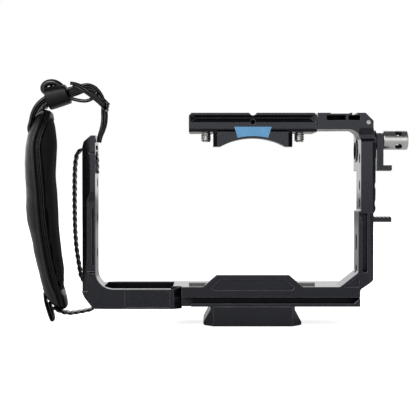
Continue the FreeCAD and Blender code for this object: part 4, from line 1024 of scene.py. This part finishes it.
    def swell(self, cushion: bpy.types.Object) -> None:
        """Fill the cushion by cloth simulation, with a cap on how far a point may move."""
        remesh = cushion.modifiers.new("even", "REMESH")
        remesh.mode = "VOXEL"
        remesh.voxel_size = self.lining_voxel
        finish = cushion.data.materials[0]
        keep_modified(cushion)
        even = cushion.data
        before = coordinates(even)
        cloth = cushion.modifiers.new("fill", "CLOTH")
        cloth.settings.use_pressure = True
        cloth.settings.uniform_pressure_force = self.lining_pressure
        cloth.settings.effector_weights.gravity = 0.0
        for moment in range(1, self.lining_frames + 1):
            bpy.context.scene.frame_set(moment)
        filled = cushion.evaluated_get(bpy.context.evaluated_depsgraph_get()).to_mesh()
        move = coordinates(filled) - before
        cushion.modifiers.clear()
        bpy.context.scene.frame_set(1)
        length = np.linalg.norm(move, axis=1, keepdims=True)
        move = move * np.minimum(1.0, self.lining_swell / np.maximum(length, 1e-9))
        even.vertices.foreach_set("co", (before + move).ravel())
        log.info("lining moved %.2f mm at most before its cap", 1000 * float(length.max()))
        even.materials.clear()
        even.materials.append(finish)
        even.shade_smooth()
        finer = cushion.modifiers.new("finer", "SUBSURF")
        finer.levels = finer.render_levels = 1

    def build(self, leather: Material, lining: Material) -> None:
        """Make the pad."""
        self.leather(leather)
        self.welt(leather)
        self.lining(lining)


def coordinates(mesh: bpy.types.Mesh) -> np.ndarray:
    """Places of a mesh's vertices."""
    flat = np.empty(3 * len(mesh.vertices))
    mesh.vertices.foreach_get("co", flat)
    return flat.reshape(-1, 3)


@dataclass
class BraidedStrap:
    """Flat braid of five leather strands that hangs beside the arm and runs under the pad."""

    route: tuple = (
        (-79.2, 78.0), (-79.2, 91.0), (-88.2, 90.2), (-90.9, 85.5), (-91.2, 64.0), (-90.8, 43.0),
        (-88.6, 28.5), (-87.6, 23.5), (-82.4, 18.5), (-80.9, 13.0), (-80.9, 8.2), (-85.6, 7.1),
        (-89.3, 6.4), (-93.3, 5.8),
        (-97.4, 6.4), (-101.4, 8.4))
    strands: int = 5
    period: float = 16.0
    reach: float = 4.7
    weave: float = 0.34
    strand_width: float = 2.9
    strand_thickness: float = 0.95
    flat_run: float = 12.0
    flat_share: float = 0.5
    rise_run: float = 3.0
    step: float = 0.30

    def build(self, finish: Material) -> None:
        """Make the strands, pressed flat where they start on the arm's inner face.

        With the distance along the strap as an angle that makes a full turn in one period, a strand swings
        from side to side on a sine and goes over and under on the sine of four times the angle. The strands
        are a fifth of a turn apart, so each crossing has one above and one below.
        """
        line = eased_line(in_plane(self.route, STRAP_Y), self.step * MM)
        ahead = unit(np.gradient(line, axis=0))
        up = np.cross(ahead, SIDE)
        run = np.arange(len(line)) * self.step
        angle = 2 * np.pi * run / self.period
        risen = np.clip((run - self.flat_run) / self.rise_run, 0.0, 1.0)
        full = self.flat_share + (1 - self.flat_share) * risen
        section = rounded_section(self.strand_width, self.strand_thickness, 2.4, 12) * MM
        grids = []
        for number in range(self.strands):
            phase = (angle + 2 * np.pi * number / self.strands)[:, None]
            centre = line + (self.reach * np.sin(phase) * SIDE
                             + self.weave * full[:, None] * np.sin((self.strands - 1) * phase) * up) * MM
            way = unit(np.gradient(centre, axis=0))
            grids.append(carry(centre, section, side=np.cross(up, way), size=full))
        braid = put("braided_strap", grids, finish)
        enter(braid, Body.CAGE, Slot.WEBBING, "strap_webbing")


@dataclass
class Sleeve:
    """Leather sleeve that holds the laces together above the pad."""

    length: float = 11.4
    wall: float = 1.3
    wide: float = 16.6
    tall: float = 11.2
    taper: float = 1.9
    swell: float = 0.2
    squareness: float = 2.7
    tilt: float = 14.0
    lean: float = 19.0
    centre_x: float = -99.7
    centre_z: float = 117.0

    def build(self, finish: Material) -> None:
        """Make the sleeve.

        Its profile runs along the outside, round one rim, back along the inside and round the other rim. At
        each point of the profile the section is a rounded rectangle, which tapers towards the arm.
        """
        lip = np.linspace(-np.pi / 2, np.pi / 2, 9)[1:-1, None]
        run = np.linspace(-0.5, 0.5, 26)[:, None] * (self.length - self.wall)
        rim = 0.5 * self.wall * np.concatenate([np.cos(lip), -np.sin(lip)], axis=1)
        level = np.full_like(run, 0.5 * self.wall)
        profile = np.concatenate([np.concatenate([run, level], axis=1), rim + (run[-1, 0], 0.0),
                                  np.concatenate([run[::-1], -level], axis=1), (run[0, 0], 0.0) - rim])
        along, offset = profile[:, :1], profile[:, 1:]
        share = along / self.length
        tall = self.tall - self.taper * share - self.swell * (2 * share) ** 2
        corner = rounded_section(1.0, 1.0, self.squareness, 72)
        across = corner[None, :, 0] * (self.wide - self.wall + 2 * offset)
        up = corner[None, :, 1] * (tall - self.wall + 2 * offset)
        tilt, lean = np.radians(self.tilt), np.radians(self.lean)
        x = self.centre_x + along * np.cos(tilt) - up * np.sin(lean)
        z = self.centre_z + along * np.sin(tilt) + up * np.cos(lean)
        grid = np.stack([x, STRAP_Y + across, z], axis=-1)
        enter(put("lace_sleeve", [grid * MM], finish, ring=True), Body.CAGE, Slot.LEATHER, "strap_keeper")


@dataclass
class LaceWork:
    """Laces between the pad and the arm, the knot that gathers them, and the rivets of the tab."""

    width: float = 2.4
    thickness: float = 1.8
    step: float = 0.45
    sway: float = 0.25
    knot_size: Triple = (0.52, 4.6, 0.50)
    knot_centre: Triple = (-75.0, -13.5, 110.9)
    knot_lace: tuple[float, float] = (1.35, 1.25)
    rivet: tuple = ((0.0, 0.9), (0.18, 0.88), (0.38, 0.66), (0.5, 0.3), (0.52, 0.05))
    rivet_aside: float = 1.4
    rivet_lift: float = 0.95
    tab_low: Triple = (-106.9, 0.0, 110.8)
    tab_high: Triple = (-105.3, 0.0, 113.0)

    def lace(self, name: str, runs: list[tuple[float, tuple]], finish: Material, node: str,
             lean: float = 0.25, width: float | None = None, thickness: float | None = None,
             power: float = 2.1) -> None:
        """Make the laces of one node.

        Args:
            name: name of the piece.
            runs: for each lace its distance from the strap's middle and its (x, z) spots in millimetres.
            finish: material.
            node: CAD node that the piece stands for.
            lean: greatest twist in radians; the twist is a sine of the distance along the lace, and so is
                a slight sway to either side.
            width: width in millimetres, where it isn't the usual one.
            thickness: thickness in millimetres, where it isn't the usual one.
            power: power of the section's superellipse.
        """
        section = rounded_section(width or self.width, thickness or self.thickness, power, 24) * MM
        grids = []
        for number, (lane, spots) in enumerate(runs):
            line = smooth_line(in_plane(spots, STRAP_Y + lane), self.step * MM)
            share = np.linspace(0.0, 1.0, len(line))
            line[:, 1] += self.sway * MM * np.sin(7.0 * share + 2.0 * number)
            grids.append(carry(line, section, twist=lean * np.sin(5.0 * share + 1.3 * number)))
        enter(put(name, grids, finish), Body.CAGE, Slot.LEATHER, node)

    def knot(self, finish: Material) -> None:
        """Knot above the arm: a trefoil, (sin t + 2 sin 2t, sin 3t, cos t - 2 cos 2t), drawn out along Y."""
        turn = np.linspace(0.0, 2 * np.pi, 160, endpoint=False)
        shape = np.stack([np.sin(turn) + 2 * np.sin(2 * turn), -np.sin(3 * turn),
                          np.cos(turn) - 2 * np.cos(2 * turn)], axis=1)
        line = (shape * self.knot_size + self.knot_centre) * MM
        grid = carry_round(line, rounded_section(*self.knot_lace, 2.2, 14) * MM, line - line.mean(axis=0))
        enter(put("lace_knot", [grid], finish, ring=True), Body.CAGE, Slot.LEATHER, "strap_knot")

    def rivets(self, finish: Material) -> None:
        """Small domed rivets through the tab, one cap on each side of it."""
        outline, turn = lathe(self.rivet, 28, 0.1)
        low, high = np.array(self.tab_low), np.array(self.tab_high)
        ahead = unit(high - low)
        out = np.cross(ahead, SIDE)
        grids = []
        for side in (-self.rivet_aside, self.rivet_aside):
            for facing in (-1.0, 1.0):
                base = (low + high) / 2 + SIDE * (STRAP_Y + side) + out * facing * self.rivet_lift
                ring = (np.cos(turn)[:, None] * SIDE + np.sin(turn)[:, None] * ahead)[None]
                grids.append((base + out * facing * outline[:, None, :1] + ring * outline[:, None, 1:]) * MM)
        enter(put("tab_rivets", grids, finish), Body.CAGE, Slot.STEEL, "strap_rivets")

    def build(self, leather: Material, hide: Material, steel: Material) -> None:
        """Make the laces and what gathers them."""
        self.lace("lace_outer", [
            (-5.0, ((-113.2, 97.6), (-113.9, 100.6), (-113.2, 103.6), (-112.2, 108.0), (-110.2, 112.0),
                    (-107.5, 114.8), (-104.8, 116.6), (-99.6, 118.7), (-94.6, 120.2), (-90.9, 121.2),
                    (-86.8, 122.2),
                    (-83.7, 122.5), (-80.7, 121.5), (-78.1, 119.0), (-76.3, 115.9), (-75.2, 111.4))),
            (-1.2, ((-98.6, 117.4), (-93.7, 118.7), (-90.4, 119.9), (-87.3, 120.9), (-83.7, 121.5),
                    (-80.7, 120.6), (-78.4, 118.2), (-76.6, 115.2), (-75.5, 111.8)))], leather,
            "strap_lace_outer")
        self.lace("lace_inner", [(3.4, (
            (-112.2, 103.4), (-110.7, 107.6), (-108.9, 111.0), (-106.4, 113.3), (-102.7, 115.0),
            (-97.6, 116.7), (-92.5, 117.7), (-89.5, 118.7), (-86.9, 119.8), (-84.3, 120.6), (-81.7, 120.0),
            (-79.4, 118.1),
            (-77.4, 115.3), (-76.0, 112.0))),
            (-2.6, ((-112.0, 99.0), (-112.5, 104.0), (-111.3, 108.2), (-109.3, 111.8), (-106.8, 114.2),
                    (-103.6, 115.8))),
            (0.6, ((-109.4, 101.6), (-110.4, 105.2), (-109.2, 108.4), (-107.4, 110.6), (-105.2, 112.4),
                   (-102.6, 113.4))),
            (1.6, ((-98.6, 116.6), (-94.0, 117.8), (-90.2, 119.3), (-86.8, 120.6), (-83.6, 121.0))),
            (-3.0, ((-98.6, 118.2), (-94.2, 119.4), (-90.6, 120.5), (-87.0, 121.6), (-84.0, 121.9)))],
            leather, "strap_lace_inner")
        self.lace("lace_bight", [(-3.4, (
            (-97.6, 116.2), (-93.1, 115.8), (-90.5, 115.2), (-87.8, 114.6), (-84.8, 114.5), (-82.8, 115.1),
            (-81.3, 116.1), (-79.9, 117.7), (-78.9, 119.0)))], leather, "strap_lace_bight")
        self.lace("lace_tail", [
            (-8.6, ((-92.5, 123.2), (-90.4, 122.9), (-88.7, 122.4), (-85.4, 120.7), (-82.2, 118.3),
                    (-79.2, 116.0), (-76.6, 113.4), (-75.3, 111.8))),
            (-7.2, ((-91.2, 122.2), (-88.9, 121.2), (-85.8, 119.4), (-82.7, 117.3), (-79.6, 114.9),
                    (-77.1, 112.6), (-76.0, 111.5))),
            (-5.0, ((-76.3, 115.4), (-74.8, 113.9), (-73.2, 112.3)))], leather, "strap_lace_tail", lean=0.4)
        self.lace("lace_drop", [
            (-3.2, ((-76.3, 111.3), (-76.4, 109.0), (-76.3, 106.0), (-76.6, 102.8), (-77.3, 99.7),
                    (-78.2, 96.7), (-78.7, 93.4))),
            (1.6, ((-75.4, 111.3), (-75.1, 108.9), (-75.0, 106.0), (-75.4, 102.6), (-76.4, 99.5),
                   (-77.6, 96.7), (-78.4, 93.4)))], leather, "strap_lace_drop", lean=0.3)
        self.lace("lace_loop", [
            (-1.4, ((-105.0, 118.8), (-106.7, 120.3), (-106.9, 121.6), (-106.2, 122.8), (-104.9, 123.7),
                    (-102.8, 124.1), (-101.1, 123.9), (-99.7, 123.3), (-98.3, 122.3), (-96.3, 120.4)))],
            leather, "strap_top_loop", width=3.4, thickness=3.3)
        self.lace("loop_filling", [
            (0.6, ((-106.3, 119.6), (-105.7, 120.7), (-104.3, 121.2), (-101.2, 121.6), (-98.1, 121.9),
                   (-96.6, 120.9))),
            (0.8, ((-103.1, 120.6), (-103.1, 122.2), (-103.0, 123.8)))], leather, "strap_top_loop", lean=0.1,
            width=2.2, thickness=1.7)
        self.lace("tail_loop", [(0.0, (
            (-106.6, 16.4), (-106.1, 12.3), (-104.9, 8.0), (-103.8, 4.4), (-103.2, 2.7), (-102.7, 2.0),
            (-102.2, 2.5), (-102.2, 4.4), (-103.2, 8.0), (-104.3, 11.6)))], leather, "strap_tail", lean=0.1,
            width=6.5, thickness=1.5)
        self.lace("pad_tab", [(0.0, ((-107.3, 109.6), (-106.9, 110.8), (-105.3, 113.0), (-104.6, 114.0)))],
                  leather, "strap_tab", lean=0.0, width=5.6, thickness=1.4, power=3.5)
        Sleeve().build(hide)
        self.knot(leather)
        self.rivets(steel)


def main() -> None:
    """Build the studio, the metal work and the hand strap."""
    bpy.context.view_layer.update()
    Studio().build()
    MetalWork().build()
    bright = TurnedSteel("thread_steel", marks=(400.0, 400.0, 2500.0)).material()
    for side, body, name in ((-1.0, Body.LEFT_SCREW, "left"), (1.0, Body.RIGHT_SCREW, "right")):
        SlottedScrew("top_screw_%s_threaded" % name, "top_screw_" + name, body, centre=(side * 23.75, -15.0),
                     way=-1.0, under_head=104.9, thread_start=98.3, thread_end=93.5, radius=2.6,
                     head_radius=4.6).build(bright)
    SlottedScrew("camera_screw_threaded", "camera_screw", Body.TRIPOD_SCREW, centre=(0.0, 0.0), way=1.0,
                 under_head=13.0, thread_start=20.2, thread_end=24.5, radius=3.1,
                 head_radius=6.0).build(bright)
    # The dark oxide finish in the knob's cross holes is painted shade.
    ClampKnob().build(TurnedSteel("knob_steel", marks=(2500.0, 400.0, 400.0), colour=(0.94, 0.93, 0.91),
                                  roughness=0.08).material(),
                      BlackOxide("knob_bore_shade").material())
    leather = GrainLeather("pad_hide").material()
    sleeve = GrainLeather("sleeve_hide", roughness=0.33, ior=1.36).material()
    HandPad().build(leather, BrushedMicrofibre().material())
    laces = GrainLeather("lace_hide", cells=2600.0, depth=0.000010, roughness=0.12, ior=1.62).material()
    BraidedStrap().build(laces)
    LaceWork().build(laces, sleeve, TurnedSteel("rivet_steel", marks=(600.0, 600.0, 600.0)).material())


if __name__ == "__main__":
    main()
